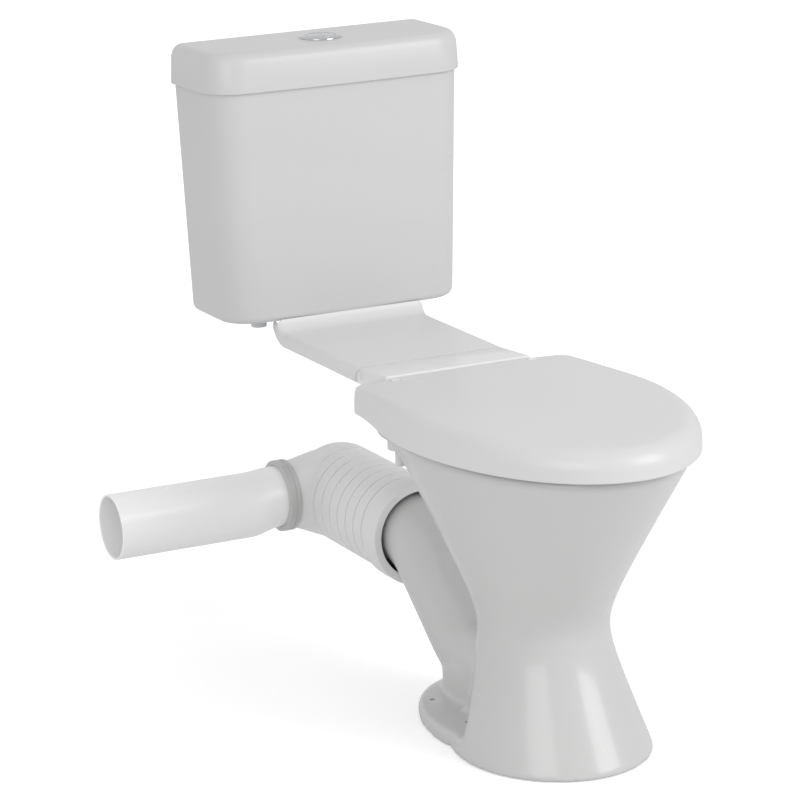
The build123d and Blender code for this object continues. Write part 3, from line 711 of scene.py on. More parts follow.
def turned(name: str, axis: Axis, stations: Sequence[tuple], count: int = 64) -> Tower:
    """A tower of circles, as turned on a lathe.

    Args:
        name: The piece's name.
        axis: The axis that it runs along.
        stations: The centre and radius of each circle.
        count: Points in a circle.

    Returns:
        The tower, still open.
    """
    return stacked(name, [circle(axis, centre, radius, count) for centre, radius in stations])


def across(place: Vector, slope: float, radius: float, count: int) -> Ring:
    """Points round a circle that stands square to a path in the plane of symmetry.

    Args:
        place: The place on the path.
        slope: The path's direction there, as an angle from Y upwards.
        radius: The circle's radius.
        count: How many points.

    Returns:
        The points in order.
    """
    ring = []
    for index in range(count):
        angle = 2 * math.pi * index / count
        up = radius * math.sin(angle)
        ring.append(place + Vector((radius * math.cos(angle), -up * math.sin(slope), up * math.cos(slope))))
    return ring


def rod(
    name: str, axis: Axis, start: Sequence[Number], length: float, radius: float, count: int = 64
) -> bpy.types.Object:
    """A plain round bar, as the start of a piece or tool.

    Args:
        name: Its name.
        axis: The axis that it runs along.
        start: The centre of its first end.
        length: Its length along the axis.
        radius: Its radius.
        count: Sides of the bar.

    Returns:
        The bar.
    """
    end = list(start)
    end[axis.value] += length
    return turned(name, axis, [(start, radius), (end, radius)], count).closed()


@dataclass(frozen=True)
class Bore:
    """A round hole or boss, by its start along its axis, its length and its radius."""

    start: float
    length: float
    radius: float
    sides: int = 64

    def solid(self, name: str, axis: Axis, first: float, second: float) -> bpy.types.Object:
        """The solid that it takes away or adds.

        Args:
            name: The solid's name.
            axis: The axis that it runs along.
            first: Its place on the first of the other two axes.
            second: Its place on the second of them.

        Returns:
            The solid.
        """
        start = [first, second]
        start.insert(axis.value, self.start)
        return rod(name, axis, start, self.length, self.radius, self.sides)


def part_way(start: float, end: float, share: float) -> float:
    """A value between two others."""
    return start + (end - start) * share


def eased(share: float) -> float:
    """A share that starts and ends softly."""
    return share * share * (3 - 2 * share)


def quarter(radius: float, steps: int = 6) -> list[tuple[float, float]]:
    """Steps of a rounded edge.

    Args:
        radius: The edge's radius.
        steps: How many steps.

    Returns:
        Pairs of how far in and how far up, from the wall to the top.
    """
    pairs = []
    for index in range(1, steps + 1):
        angle = math.pi / 2 * index / steps
        pairs.append((radius * (1 - math.cos(angle)), radius * math.sin(angle)))
    return pairs


def finish_piece(
    piece: bpy.types.Object, body: Body, nodes: Sequence[str], finish: Finish, crease: float = 35.0
) -> None:
    """Brings a piece to metres, smooths and dresses it and hands it to its body.

    Args:
        piece: The piece, still in millimetres.
        body: The body that it rides on.
        nodes: The CAD nodes that it stands for.
        finish: Its finish.
        crease: Edges sharper than this angle in degrees stay sharp.
    """
    hold(piece)
    piece.scale = (MILLIMETRE,) * 3
    bpy.ops.object.transform_apply(location=True, rotation=True, scale=True)
    bpy.ops.object.shade_smooth_by_angle(angle=math.radians(crease))
    piece.data.materials.clear()
    piece.data.materials.append(material_of(finish))
    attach(piece, body.value)
    if nodes:
        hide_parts(*nodes)
    LOG.info("%s: %d faces on %s", piece.name, len(piece.data.polygons), body.value)


def dress(node: str, finish: Finish) -> None:
    """Gives a CAD node a finish.

    Args:
        node: The node's name.
        finish: Its finish.
    """
    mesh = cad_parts[node].data
    mesh.materials.clear()
    mesh.materials.append(material_of(finish))
    LOG.info("%s: dressed as %s", node, finish.name.lower())


# Outlines

@dataclass(frozen=True)
class Oval:
    """A flat oval, symmetric about the middle plane."""

    half_width: float
    front: float
    back: float
    height: float

    def points(self, count: int = 96) -> Ring:
        """Points round the oval.

        Args:
            count: How many.

        Returns:
            The points in order.
        """
        middle = (self.front + self.back) / 2
        half_length = (self.back - self.front) / 2
        turns = [2 * math.pi * index / count for index in range(count)]
        return [
            Vector((self.half_width * math.cos(turn), middle + half_length * math.sin(turn), self.height))
            for turn in turns
        ]

    def grown(self, by: float, up: float = 0.0) -> "Oval":
        """A wider or narrower oval.

        Args:
            by: How much wider all round.
            up: How much higher.

        Returns:
            The new oval.
        """
        return Oval(self.half_width + by, self.front - by, self.back + by, self.height + up)

    def towards(self, other: "Oval", share: float) -> "Oval":
        """An oval between two others.

        Args:
            other: The other oval.
            share: How far towards it.

        Returns:
            The oval between.
        """
        return Oval(*(part_way(own, theirs, share) for own, theirs in zip(astuple(self), astuple(other))))


@dataclass(frozen=True)
class Egg:
    """The outline of the seat and its lid."""

    half_width: float = 171.0
    widest: float = -86.0
    front: float = -365.0
    rear_half_width: float = 150.0
    rear: float = 98.0
    corner: float = 20.0
    soft_from: float = -60.0
    rear_softness: float = 0.16
    soft_margin: float = 8.0
    bulge: float = 0.38
    corner_share: float = 0.9
    focus: float = -140.0
    front_steps: int = 48
    side_steps: int = 28
    corner_steps: int = 8
    back_steps: int = 10

    def points(self, inset: float, height: float, spread: float = 1.0, rounding: float = 0.0) -> Ring:
        """Points round the outline.

        Args:
            inset: How far inside the lid's edge.
            height: The ring's height.
            spread: Size against the full outline, drawn in towards its focus.
            rounding: A further inset, which grows less towards the back.

        Returns:
            The points in order.
        """
        edge = self._edge()
        ring = []
        for index, (x, y) in enumerate(edge):
            before, after = edge[index - 1], edge[(index + 1) % len(edge)]
            way = Vector((after[0] - before[0], after[1] - before[1])).normalized()
            depth = inset + rounding * self._softness(y)
            x, y = x - way.y * depth, y + way.x * depth
            ring.append(Vector((x * spread, self.focus + (y - self.focus) * spread, height)))
        return ring

    def _softness(self, y: float) -> float:
        """How much of the full rounding the edge has.

        Args:
            y: The place along the seat.

        Returns:
            From 1 in front to the rear share at the back.
        """
        reach = self.rear - self.soft_margin - self.soft_from
        share = min(1.0, max(0.0, (y - self.soft_from) / reach))
        return 1.0 - eased(share) * (1.0 - self.rear_softness)

    def _edge(self) -> list[tuple[float, float]]:
        """The outline's points, anticlockwise from the left.

        Returns:
            Pairs of x and y.
        """
        reach = self.widest - self.front
        flat = []
        for index in range(self.front_steps):
            turn = math.pi + math.pi * index / self.front_steps
            flat.append((self.half_width * math.cos(turn), self.widest + reach * math.sin(turn)))
        side = self._side()
        flat += side
        back_half = self.rear_half_width - self.corner
        for index in range(1, self.back_steps):
            flat.append((back_half * (1 - 2 * index / self.back_steps), self.rear))
        flat += [(-x, y) for x, y in reversed(side)]
        return flat

    def _side(self) -> list[tuple[float, float]]:
        """The right side, from the widest place round the rear corner.

        Returns:
            Pairs of x and y.
        """
        length = self.rear - self.widest
        span = self.bulge * length
        marks_x = (self.half_width, self.half_width, self.rear_half_width, self.rear_half_width)
        marks_y = (self.widest, self.widest + span, self.rear - span, self.rear)
        cut = 1.0 - self.corner / length * self.corner_share
        side = []
        for index in range(self.side_steps):
            share = cut * index / (self.side_steps - 1)
            rest = 1 - share
            weights = (rest ** 3, 3 * rest ** 2 * share, 3 * rest * share ** 2, share ** 3)
            side.append(tuple(
                sum(weight * mark for weight, mark in zip(weights, marks)) for marks in (marks_x, marks_y)
            ))
        x_start, y_start = side[-1]
        centre_x = self.rear_half_width - self.corner
        for index in range(1, self.corner_steps + 1):
            turn = math.pi / 2 * index / self.corner_steps
            side.append((
                centre_x + (x_start - centre_x) * math.cos(turn),
                y_start + (self.rear - y_start) * math.sin(turn),
            ))
        return side


@dataclass(frozen=True)
class BowedBox:
    """The outline of the cistern: a rounded box with a gently bowed front."""

    half_width: float
    front: float
    back: float
    corner: float
    back_corner: float
    bow: float = 7.0
    least_corner: float = 2.0
    front_steps: int = 24
    corner_steps: int = 14
    side_steps: int = 6
    back_corner_steps: int = 8
    back_steps: int = 16

    def points(self, inset: float, height: float, spread: float = 1.0) -> Ring:
        """Points round the outline.

        Args:
            inset: How far inside the outline.
            height: The ring's height.
            spread: Size against the full outline, drawn in towards its middle.

        Returns:
            The points in order.
        """
        half = self.half_width - inset
        front = self.front + inset
        back = self.back - inset
        corner = max(self.corner - inset, self.least_corner)
        back_corner = max(self.back_corner - inset, self.least_corner)
        flat = []
        for index in range(self.front_steps + 1):
            x = (half - corner) * (2 * index / self.front_steps - 1)
            flat.append((x, front + self.bow * (x / half) ** 2))
        side_start = front + self.bow * ((half - corner) / half) ** 2 + corner
        side_end = back - back_corner
        flat += self._corner(half - corner, side_start, corner, -90, self.corner_steps)
        flat += [(half, y) for y in self._steps(side_start, side_end, self.side_steps)]
        flat += self._corner(half - back_corner, side_end, back_corner, 0, self.back_corner_steps)
        flat += [(x, back) for x in self._steps(half - back_corner, back_corner - half, self.back_steps)]
        flat += self._corner(back_corner - half, side_end, back_corner, 90, self.back_corner_steps)
        flat += [(-half, y) for y in self._steps(side_end, side_start, self.side_steps)]
        flat += self._corner(corner - half, side_start, corner, 180, self.corner_steps)[:-1]
        middle = (front + back) / 2
        return [Vector((x * spread, middle + (y - middle) * spread, height)) for x, y in flat]

    @staticmethod
    def _corner(x: float, y: float, radius: float, start: float, steps: int) -> list[tuple[float, float]]:
        """A quarter turn, without its first point.

        Args:
            x: The centre across.
            y: The centre to the wall.
            radius: The corner's radius.
            start: The first angle in degrees.
            steps: How many points.

        Returns:
            Pairs of x and y.
        """
        angles = [math.radians(start + 90 * index / steps) for index in range(1, steps + 1)]
        return [(x + radius * math.cos(angle), y + radius * math.sin(angle)) for angle in angles]

    @staticmethod
    def _steps(start: float, end: float, count: int) -> list[float]:
        """Even steps between two places, without the places themselves.

        Args:
            start: The first place.
            end: The last place.
            count: Steps between.

        Returns:
            The places.
        """
        return [start + (end - start) * index / count for index in range(1, count)]


# The pan

@dataclass
class Pan:
    """The glazed pan: foot, waist, bowl, deck and horn in one piece."""

    foot: Oval = Oval(119.5, -260.0, 20.0, 0.0)
    waist: Oval = Oval(78.0, -194.0, -24.0, 152.0)
    rim: Oval = Oval(155.0, -344.0, 142.0, 373.0)
    opening: Oval = Oval(118.0, -300.0, -12.0, 386.0)
    sump: Oval = Oval(42.0, -162.0, -62.0, 60.0)
    softness: float = 32.0
    foot_steps: int = 12
    body_steps: int = 18
    bowl_steps: int = 12
    sump_steps: int = 6
    rim_top: float = 386.0
    rim_round: float = 6.0
    bowl_wall: float = 14.0
    channel_low: float = 348.0
    channel_high: float = 371.0
    channel_depth: float = 10.0
    channel_drop: float = 3.0
    flange: Oval = Oval(112.0, -205.0, 125.0, 0.0)
    flange_height: float = 20.0
    flange_edge: float = 8.0
    heel: Oval = Oval(54.0, -60.0, 118.0, 0.0)
    heel_top: float = 62.0
    scoop_radius: float = 67.0
    scoop_x: float = 124.0
    scoop_y: float = -38.0
    scoop_shoulder: float = 92.0
    scoop_steps: int = 9
    deck_low: tuple = (-105.0, -40.0, 340.0)
    deck_high: tuple = (105.0, 148.0, 386.0)
    deck_corner: float = 34.0
    deck_edge: float = 16.0
    horn_start: float = -109.0
    horn_radius: float = 51.0
    horn_foot: float = 67.0
    horn_head: float = 206.0
    horn_end: float = 264.0
    horn_low: float = 66.0
    horn_high: float = 178.0
    horn_bend: float = 85.0
    horn_steps: int = 8
    trap_start: float = -125.0
    trap_radius: float = 37.0
    trap_over: float = 2.0
    pipe_sides: int = 56
    voxel: float = 3.7
    smoothing: float = 0.5
    smooth_rounds: int = 9
    crease: float = 50.0
    screw_x: float = 75.0
    screw_y: float = 48.0
    screw_hole: Bore = Bore(-4.0, 40.0, 3.5, 24)
    inlet_z: float = 364.0
    inlet_boss: Bore = Bore(120.0, 48.0, 32.0)
    inlet: Bore = Bore(-60.0, 240.0, 17.0)
    inlet_seat: Bore = Bore(138.0, 40.0, 27.0)
    bolt_x: float = 77.5
    bolt_y: float = 112.0
    bolt_hole: Bore = Bore(330.0, 70.0, 7.0, 32)

    def _flared(self, height: float, end: Oval, waist: Oval) -> Oval:
        """An outline that grows from the waist towards an end.

        Args:
            height: The outline's height.
            end: The outline at the end.
            waist: The outline at the waist.

        Returns:
            The outline at that height.
        """
        reach = math.hypot(height - waist.height, self.softness) - self.softness
        full = math.hypot(end.height - waist.height, self.softness) - self.softness
        mixed = waist.towards(end, reach / full)
        return Oval(mixed.half_width, mixed.front, mixed.back, height)

    def _column(self) -> bpy.types.Object:
        """Foot, waist, rim and the inside of the bowl.

        Returns:
            One closed piece.
        """
        foot, waist, rim = self.foot, self.waist, self.rim
        ovals = []
        for index in range(self.foot_steps + 1):
            ovals.append(self._flared(waist.height * index / self.foot_steps, foot, waist))
        for index in range(1, self.body_steps + 1):
            height = waist.height + (rim.height - waist.height) * index / self.body_steps
            ovals.append(self._flared(height, rim, waist))
        band = rim.grown(0.0, self.rim_top - self.rim_round - rim.height)
        mouth = self.opening.grown(0.0, -self.rim_round)
        rounding = quarter(self.rim_round)
        ovals += [band] + [band.grown(-inward, up) for inward, up in rounding]
        ovals += [mouth.grown(inward, up) for inward, up in reversed(rounding)]
        for by, height in (
            (0.0, self.channel_high), (self.channel_depth, self.channel_high - self.channel_drop),
            (self.channel_depth, self.channel_low),
        ):
            ovals.append(self.opening.grown(by, height - self.rim_top))
        inner_waist = waist.grown(-self.bowl_wall)
        for index in range(self.bowl_steps + 1):
            height = self.channel_low + (waist.height - self.channel_low) * index / self.bowl_steps
            ovals.append(self._flared(height, self.opening, inner_waist))
        for index in range(1, self.sump_steps + 1):
            ovals.append(inner_waist.towards(self.sump, index / self.sump_steps))
        return stacked("pan", [oval.points() for oval in ovals]).closed()

    def _path(self, start: float) -> list[tuple[Vector, float]]:
        """The middle line of the trap, in the plane of symmetry.

        Args:
            start: Where it starts, along Y.

        Returns:
            Places and the slope's angle at each.
        """
        low, high, bend = self.horn_low, self.horn_high, self.horn_bend
        slope = math.atan2(high - low, self.horn_head - self.horn_foot)
        cut = bend * math.tan(slope / 2)
        stops = [(Vector((0, start, low)), 0.0), (Vector((0, self.horn_foot - cut, low)), 0.0)]
        for index in range(1, self.horn_steps + 1):
            turn = slope * index / self.horn_steps
            y = self.horn_foot - cut + bend * math.sin(turn)
            stops.append((Vector((0, y, low + bend * (1 - math.cos(turn)))), turn))
        for index in range(self.horn_steps + 1):
            turn = slope * (1 - index / self.horn_steps)
            y = self.horn_head + cut - bend * math.sin(turn)
            stops.append((Vector((0, y, high - bend * (1 - math.cos(turn)))), turn))
        stops.append((Vector((0, self.horn_end, high)), 0.0))
        return stops

    def _pipe(self, name: str, start: float, radius: float, extra: float) -> bpy.types.Object:
        """A round body along the trap's middle line.

        Args:
            name: Its name.
            start: Where it starts, along Y.
            radius: Its radius.
            extra: How far it runs past the horn's end.

        Returns:
            The closed body.
        """
        rings = [across(place, slope, radius, self.pipe_sides) for place, slope in self._path(start)]
        rings[-1] = [point + Vector((0, extra, 0)) for point in rings[-1]]
        return stacked(name, rings).closed()

    def _flange(self) -> bpy.types.Object:
        """The flat flange of the foot.

        Returns:
            The flange.
        """
        straight = self.flange_height - self.flange_edge
        ovals = [self.flange, self.flange.grown(0.0, straight)]
        ovals += [self.flange.grown(-inward, straight + up) for inward, up in quarter(self.flange_edge)]
        return stacked("flange", [oval.points() for oval in ovals]).closed()

    def _heel(self) -> bpy.types.Object:
        """The heel under the horn."""
        return stacked("heel", [self.heel.points(), self.heel.grown(0.0, self.heel_top).points()]).closed()

    def _deck(self) -> bpy.types.Object:
        """The deck behind the bowl.

        Returns:
            The deck, with rounded corners.
        """
        deck = add_block("deck", self.deck_low, self.deck_high)
        with editing(deck):
            pick_edges(deck, lambda middle, way: abs(way.z) > ALONG and middle.y > 0)
            bpy.ops.mesh.bevel(offset=self.deck_corner, segments=10)
        with editing(deck):
            pick_edges(deck, lambda middle, way: middle.z < self.deck_low[2] + 1)
            bpy.ops.mesh.bevel(offset=self.deck_edge, segments=8)
        return deck

    def _scoop(self, side: int) -> bpy.types.Object:
        """The hollow in one flank over the screws.

        Args:
            side: 1 for the right, -1 for the left.

        Returns:
            The tool solid.
        """
        x, y, radius = side * self.scoop_x, self.scoop_y, self.scoop_radius
        stations = [((x, y, self.flange_height), radius)]
        for index in range(self.scoop_steps):
            turn = math.pi / 2 * index / self.scoop_steps
            stations.append(((x, y, self.scoop_shoulder + radius * math.sin(turn)), radius * math.cos(turn)))
        return turned("scoop", Axis.Z, stations).closed()

    def build(self) -> None:
        """Models the pan and hands it over."""
        pan = self._column()
        for side in (-1, 1):
            carve(pan, self._scoop(side))
        horn = self._pipe("horn", self.horn_start, self.horn_radius, 0.0)
        for part in (self._flange(), self._heel(), self._deck(), horn):
            carve(pan, part, Work.JOIN)
        carve(pan, self.inlet_boss.solid("boss", Axis.Y, 0, self.inlet_z), Work.JOIN)
        carve(pan, self._pipe("trap", self.trap_start, self.trap_radius, self.trap_over))
        modify(pan, "REMESH", mode="VOXEL", voxel_size=self.voxel)
        modify(pan, "SMOOTH", factor=self.smoothing, iterations=self.smooth_rounds)
        for x in (-self.screw_x, self.screw_x):
            for y in (-self.screw_y, self.screw_y):
                carve(pan, self.screw_hole.solid("screw_hole", Axis.Z, x, y))
        carve(pan, self.inlet.solid("inlet", Axis.Y, 0, self.inlet_z))
        carve(pan, self.inlet_seat.solid("inlet_seat", Axis.Y, 0, self.inlet_z))
        for x in (-self.bolt_x, self.bolt_x):
            carve(pan, self.bolt_hole.solid("bolt_hole", Axis.Z, x, self.bolt_y))
        finish_piece(pan, Body.SUITE, ["pan"], Finish.GLAZE, crease=self.crease)


# Seat ring, seat lid and their hinge

@dataclass
class Seat:
    """The ring, the lid that wraps over it and the bar that they turn on."""

    egg: Egg = Egg()
    hinge_y: float = 84.0
    hinge_z: float = 414.0
    lid_low: float = 389.0
    lid_foot: float = 1.2
    lid_skirt: float = 3.5
    lid_rear_top: float = 424.5
    crown: float = 8.0
    top_spreads: tuple = (0.99, 0.96, 0.9, 0.8, 0.7, 0.58, 0.46, 0.34, 0.22, 0.1, 0.03)
    wall: float = 3.5
    edge: float = 24.0
    edge_lead: float = 1.0
    lining_over: float = 6.0
    lining_spreads: tuple = (0.97, 0.85, 0.65, 0.4, 0.15, 0.04)
    notch_low: float = 380.0
    notch_top: float = 440.0
    notch_over: float = 15.0
    notch_lap: float = 2.0
    knuckle_room: float = 5.0
    slit: float = 0.8
    barrel: float = 10.0
    barrel_edge: float = 0.6
    ear_inner: float = 88.5
    ear_outer: float = 99.5
    knuckle_width: float = 10.5
    knuckle_radius: float = 4.6
    knuckle_sides: int = 40
    pin_start: float = 71.5
    pin_reach: float = 20.0
    pin_bore: float = 2.5
    loose_bore: float = 2.55
    bore_over: float = 2.0
    bore_sides: int = 32
    ring_inset: float = 5.2
    ring_low: float = 396.0
    ring_top: float = 414.0
    ring_edge: float = 9.0
    ring_foot: float = 2.0
    ring_back: float = 47.0
    ring_back_softness: float = 16.0
    hole: Oval = Oval(112.0, -296.0, -6.0, 0.0)
    hole_slope: float = 8.0
    hole_drop: float = 0.2
    hole_foot: float = 4.0
    arm_lap: float = 12.0
    arm_low: float = 404.5
    arm_top: float = 413.0
    arm_edge: float = 1.5
    bar_front: float = 98.0
    bar_back: float = 176.0
    bar_low: float = 403.0
    bar_top: float = 425.0
    bar_fall: float = 5.0
    bar_edge: float = 3.0
    bar_foot_back: float = 131.0
    bar_foot_low: float = 386.0
    bar_foot_top: float = 410.0
    web_low: float = 402.0
    web_lap: float = 4.0
    bolt_x: float = 77.5
    bolt_y: float = 112.0
    bolt_hole: Bore = Bore(380.0, 30.0, 6.0, 32)
    rim_top: float = 386.0
    buffer_radius: float = 7.0
    buffer_dome: tuple = ((0.0, 1.6), (0.7, 0.6), (2.4, 0.0))
    buffer_x: float = 119.0
    buffer_front: float = -216.0
    buffer_back: float = -20.0
    ring_buffer_lap: float = 0.2
    lid_buffer_lap: float = 0.3

    def _crown_height(self, place: Vector, drop: float) -> float:
        """The height of the lid's crowned top.

        Args:
            place: A place on the lid.
            drop: How far below the top.

        Returns:
            The height there.
        """
        reach = self.hinge_y - self.egg.focus
        radius = (reach ** 2 + self.crown ** 2) / (2 * self.crown)
        away = math.hypot(place.x, place.y - self.egg.focus)
        return self.lid_rear_top + self.crown - drop - radius + math.sqrt(radius ** 2 - away ** 2)

    def _crowned(self, inset: float, below: float, rounding: float = 0.0, spread: float = 1.0) -> Ring:
        """A ring that follows the crown.

        Args:
            inset: How far inside the lid's outside, at its side and at its top.
            below: How far under the crown it runs.
            rounding: How far in the rounded edge has come.
            spread: Size against the outline.

        Returns:
            The ring's points.
        """
        ring = self.egg.points(inset, 0.0, spread, rounding)
        for point in ring:
            point.z = self._crown_height(point, inset) - below
        return ring

    def _pin(
        self, name: str, start: float, width: float, radius: float, over: float = 0.0, sides: int = 64
    ) -> bpy.types.Object:
        """A round bar on the hinge line.

        Args:
            name: Its name.
            start: Where it starts, along X.
            width: How far it runs, to the left if it is below 0.
            radius: Its radius.
            over: How far it runs past both ends.
            sides: Its sides.

        Returns:
            The bar.
        """
        over = math.copysign(over, width)
        return rod(name, Axis.X, (start - over, self.hinge_y, self.hinge_z), width + 2 * over, radius, sides)

    def _lid(self) -> bpy.types.Object:
        """The wrap-over lid.

        Returns:
            The lid, with a barrel on its hinge line.
        """
        low, foot, edge = self.lid_low, self.lid_foot, self.edge
        rings = [self.egg.points(self.wall, low + foot), self.egg.points(self.wall - foot, low)]
        rings += [self.egg.points(foot, low), self.egg.points(0.0, low + foot)]
        rings += [self.egg.points(0.0, low + self.lid_skirt)]
        rings += [self._crowned(0.0, edge + self.edge_lead), self._crowned(0.0, edge)]
        rings += [self._crowned(0.0, edge - up, inward) for inward, up in quarter(edge, 10)]
        rings += [self._crowned(0.0, 0.0, edge, spread) for spread in self.top_spreads]
        lid = stacked("seat_lid", rings).closed()
        carve(lid, self._lining())
        self._trim_lid(lid)
        return lid

    def _lining(self) -> bpy.types.Object:
        """The room inside the lid, which is open below.

        Returns:
            The tool solid.
        """
        wall, edge = self.wall, self.edge - self.wall
        rings = [self.egg.points(wall, self.lid_low - self.lining_over)]
        rings += [self.egg.points(wall, self.lid_low + self.lid_skirt), self._crowned(wall, edge)]
        rings += [self._crowned(wall, edge - up, inward) for inward, up in quarter(edge)]
        rings += [self._crowned(wall, 0.0, edge, spread) for spread in self.lining_spreads]
        return stacked("lid_lining", rings).closed()

    def _trim_lid(self, lid: bpy.types.Object) -> None:
        """Makes room for the hinge at the lid's back and adds its barrel.

        Args:
            lid: The lid.
        """
        low, back, top = self.notch_low, self.egg.rear + self.notch_over, self.hinge_z + self.knuckle_room
        notch = self.ear_outer + self.slit
        tools = [add_block("notch", (-notch, self.hinge_y, low), (notch, back, self.notch_top))]
        for side in (-1, 1):
            start = side * (self.ear_inner - self.slit)
            width = side * (self.ear_outer - self.ear_inner + 2 * self.slit)
            tools.append(self._pin("ear_room", start, width, self.barrel + self.slit))
            outside = notch + self.knuckle_width + 2 * self.slit
            ends = sorted((side * (notch - self.notch_lap), side * outside))
            tools.append(add_block("knuckle_room", (ends[0], self.hinge_y, low), (ends[1], back, top)))
        for tool in tools:
            carve(lid, tool)
        end, small = self.ear_inner - self.slit, self.barrel - self.barrel_edge
        inner = end - self.barrel_edge
        profile = [(-end, small), (-inner, self.barrel), (inner, self.barrel), (end, small)]
        stations = [((x, self.hinge_y, self.hinge_z), radius) for x, radius in profile]
        carve(lid, turned("barrel", Axis.X, stations).closed(), Work.JOIN)
        for side in (-1, 1):
            start, reach = side * self.pin_start, side * self.pin_reach
            carve(lid, self._pin("pin_bore", start, reach, self.loose_bore, sides=self.bore_sides))

    def _ring_outer(self, inset: float, height: float) -> Ring:
        """The ring's outer outline, cut straight at the back.

        Args:
            inset: How far inside the ring's edge.
            height: The outline's height.

        Returns:
            Its points.
        """
        ring = self.egg.points(self.ring_inset + inset, height)
        limit = self.ring_back - inset
        soft = self.ring_back_softness
        for point in ring:
            over = point.y - (limit - soft)
            if over > 0:
                point.y = limit - soft * math.exp(-over / soft)
        return ring

    def _ring_inner(self, outset: float, height: float, outer: Ring) -> Ring:
        """The edge of the hole, point by point opposite the outer outline.

        Args:
            outset: How far outside the hole's edge.
            height: The ring's height.
            outer: The outer outline.

        Returns:
            Its points.
        """
        middle = (self.hole.front + self.hole.back) / 2
        half_length = (self.hole.back - self.hole.front) / 2 + outset
        half_width = self.hole.half_width + outset
        ring = []
        for point in outer:
            turn = math.atan2((point.y - middle) / half_length, point.x / half_width)
            ring.append(Vector((half_width * math.cos(turn), middle + half_length * math.sin(turn), height)))
        return ring

    def _seat_ring(self) -> bpy.types.Object:
        """The seat ring with its arms and knuckles.

        Returns:
            The ring.
        """
        outline = self._ring_outer(0.0, 0.0)
        low, soft = self.ring_low, self.ring_edge
        top, inner_top = self.ring_top, self.ring_top - self.hole_drop
        rounding = quarter(soft, 4)
        rings = [self._ring_outer(self.ring_foot, low), self._ring_outer(0.0, low + self.ring_foot)]
        rings += [self._ring_outer(0.0, top - soft)]
        rings += [self._ring_outer(inward, top - soft + up) for inward, up in rounding]
        rings += [self._ring_inner(soft + self.hole_slope, inner_top, outline)]
        for inward, up in reversed(rounding):
            rings.append(self._ring_inner(inward, inner_top - soft + up, outline))
        rings += [self._ring_inner(0.0, low + self.hole_foot, outline)]
        rings += [self._ring_inner(self.hole_foot, low, outline)]
        ring = stacked("seat_ring", rings).looped()
        for side in (-1, 1):
            start = side * (self.ear_outer + self.slit)
            width = side * self.knuckle_width
            ends = sorted((start, start + width))
            arm_front = self.ring_back - self.arm_lap
            arm = add_block("arm", (ends[0], arm_front, self.arm_low), (ends[1], self.hinge_y, self.arm_top))
            with editing(arm):
                pick_edges(arm, lambda middle, way: abs(way.y) > ALONG)
                bpy.ops.mesh.bevel(offset=self.arm_edge, segments=3)
            carve(ring, arm, Work.JOIN)
            knuckle = self._pin("knuckle", start, width, self.knuckle_radius, sides=self.knuckle_sides)
            carve(ring, knuckle, Work.JOIN)
            bore = self._pin("knuckle_bore", start, width, self.loose_bore, self.bore_over, self.bore_sides)
            carve(ring, bore)
        return ring

    def _bar(self) -> bpy.types.Object:
        """The hinge bar with its ears.

        Returns:
            The bar.
        """
        half, front, back = self.ear_outer, self.bar_front, self.bar_back
        bar = add_block("hinge_bar", (-half, front, self.bar_low), (half, back, self.bar_top))
        with editing(bar):
            pick_edges(bar, lambda middle, way: middle.z > self.bar_top - 1 and middle.y > back - 1)
            bpy.ops.transform.translate(value=(0, 0, -self.bar_fall))
        with editing(bar):
            pick_edges(bar, lambda middle, way: middle.z > self.bar_low + 1
                       and (abs(way.z) < 0.5 or middle.y > back - 1))
            bpy.ops.mesh.bevel(offset=self.bar_edge, segments=4)
        foot_high = (half, self.bar_foot_back, self.bar_foot_top)
        carve(bar, add_block("bar_foot", (-half, front, self.bar_foot_low), foot_high), Work.JOIN)
        for side in (-1, 1):
            start, end = side * self.ear_inner, side * half
            width = end - start
            low_x, high_x = sorted((start, end))
            web_high = (high_x, front + self.web_lap, self.hinge_z)
            carve(bar, add_block("web", (low_x, self.hinge_y, self.web_low), web_high), Work.JOIN)
            carve(bar, self._pin("ear", start, width, self.barrel), Work.JOIN)
            carve(bar, self._pin("pin_hole", start, width, self.pin_bore, self.bore_over, self.bore_sides))
            carve(bar, self.bolt_hole.solid("bolt_hole", Axis.Z, side * self.bolt_x, self.bolt_y))
        return bar

    def _buffers(self, name: str, flat: Callable[[Vector], float], dome: float) -> bpy.types.Object:
        """Four rubber feet with domed ends.

        Args:
            name: The piece's name.
            flat: Gives the height of a flat end from its place.
            dome: The height of their domed ends.

        Returns:
            All four as one object.
        """
        feet = []
        for x in (-self.buffer_x, self.buffer_x):
            for y in (self.buffer_front, self.buffer_back):
                start = flat(Vector((x, y, 0)))
                way = 1.0 if start > dome else -1.0
                stations = [((x, y, start), self.buffer_radius)]
                for inward, off in self.buffer_dome:
                    stations.append(((x, y, dome + way * off), self.buffer_radius - inward))
                feet.append(turned(name, Axis.Z, stations if way < 0 else stations[::-1], 32).closed())
        hold(feet[0])
        for foot in feet[1:]:
            foot.select_set(True)
        bpy.ops.object.join()
        return bpy.context.object

    def build(self) -> None:
        """Models the seat, the lid and the bar and hands them over."""
        finish_piece(self._lid(), Body.SEAT_LID, ["seat_lid"], Finish.SEAT)
        finish_piece(self._seat_ring(), Body.SEAT, ["seat_ring"], Finish.SEAT, crease=40.0)
        finish_piece(self._bar(), Body.SUITE, ["hinge_bar"], Finish.HINGE)
        under_ring = self._buffers(
            "seat_buffers", lambda place: self.ring_low + self.ring_buffer_lap, self.rim_top
        )
        finish_piece(under_ring, Body.SEAT, ["seat_buffers"], Finish.RUBBER)
        under_lid = self._buffers(
            "lid_buffers", lambda place: self._crown_height(place, self.wall) - self.lid_buffer_lap,
            self.ring_top,
        )
        finish_piece(under_lid, Body.SEAT_LID, ["lid_buffers"], Finish.RUBBER)
        dress("hinge_pins", Finish.STEEL)
        for node in ("hinge_bolts", "hinge_nuts"):
            dress(node, Finish.SEAT)


# Cistern

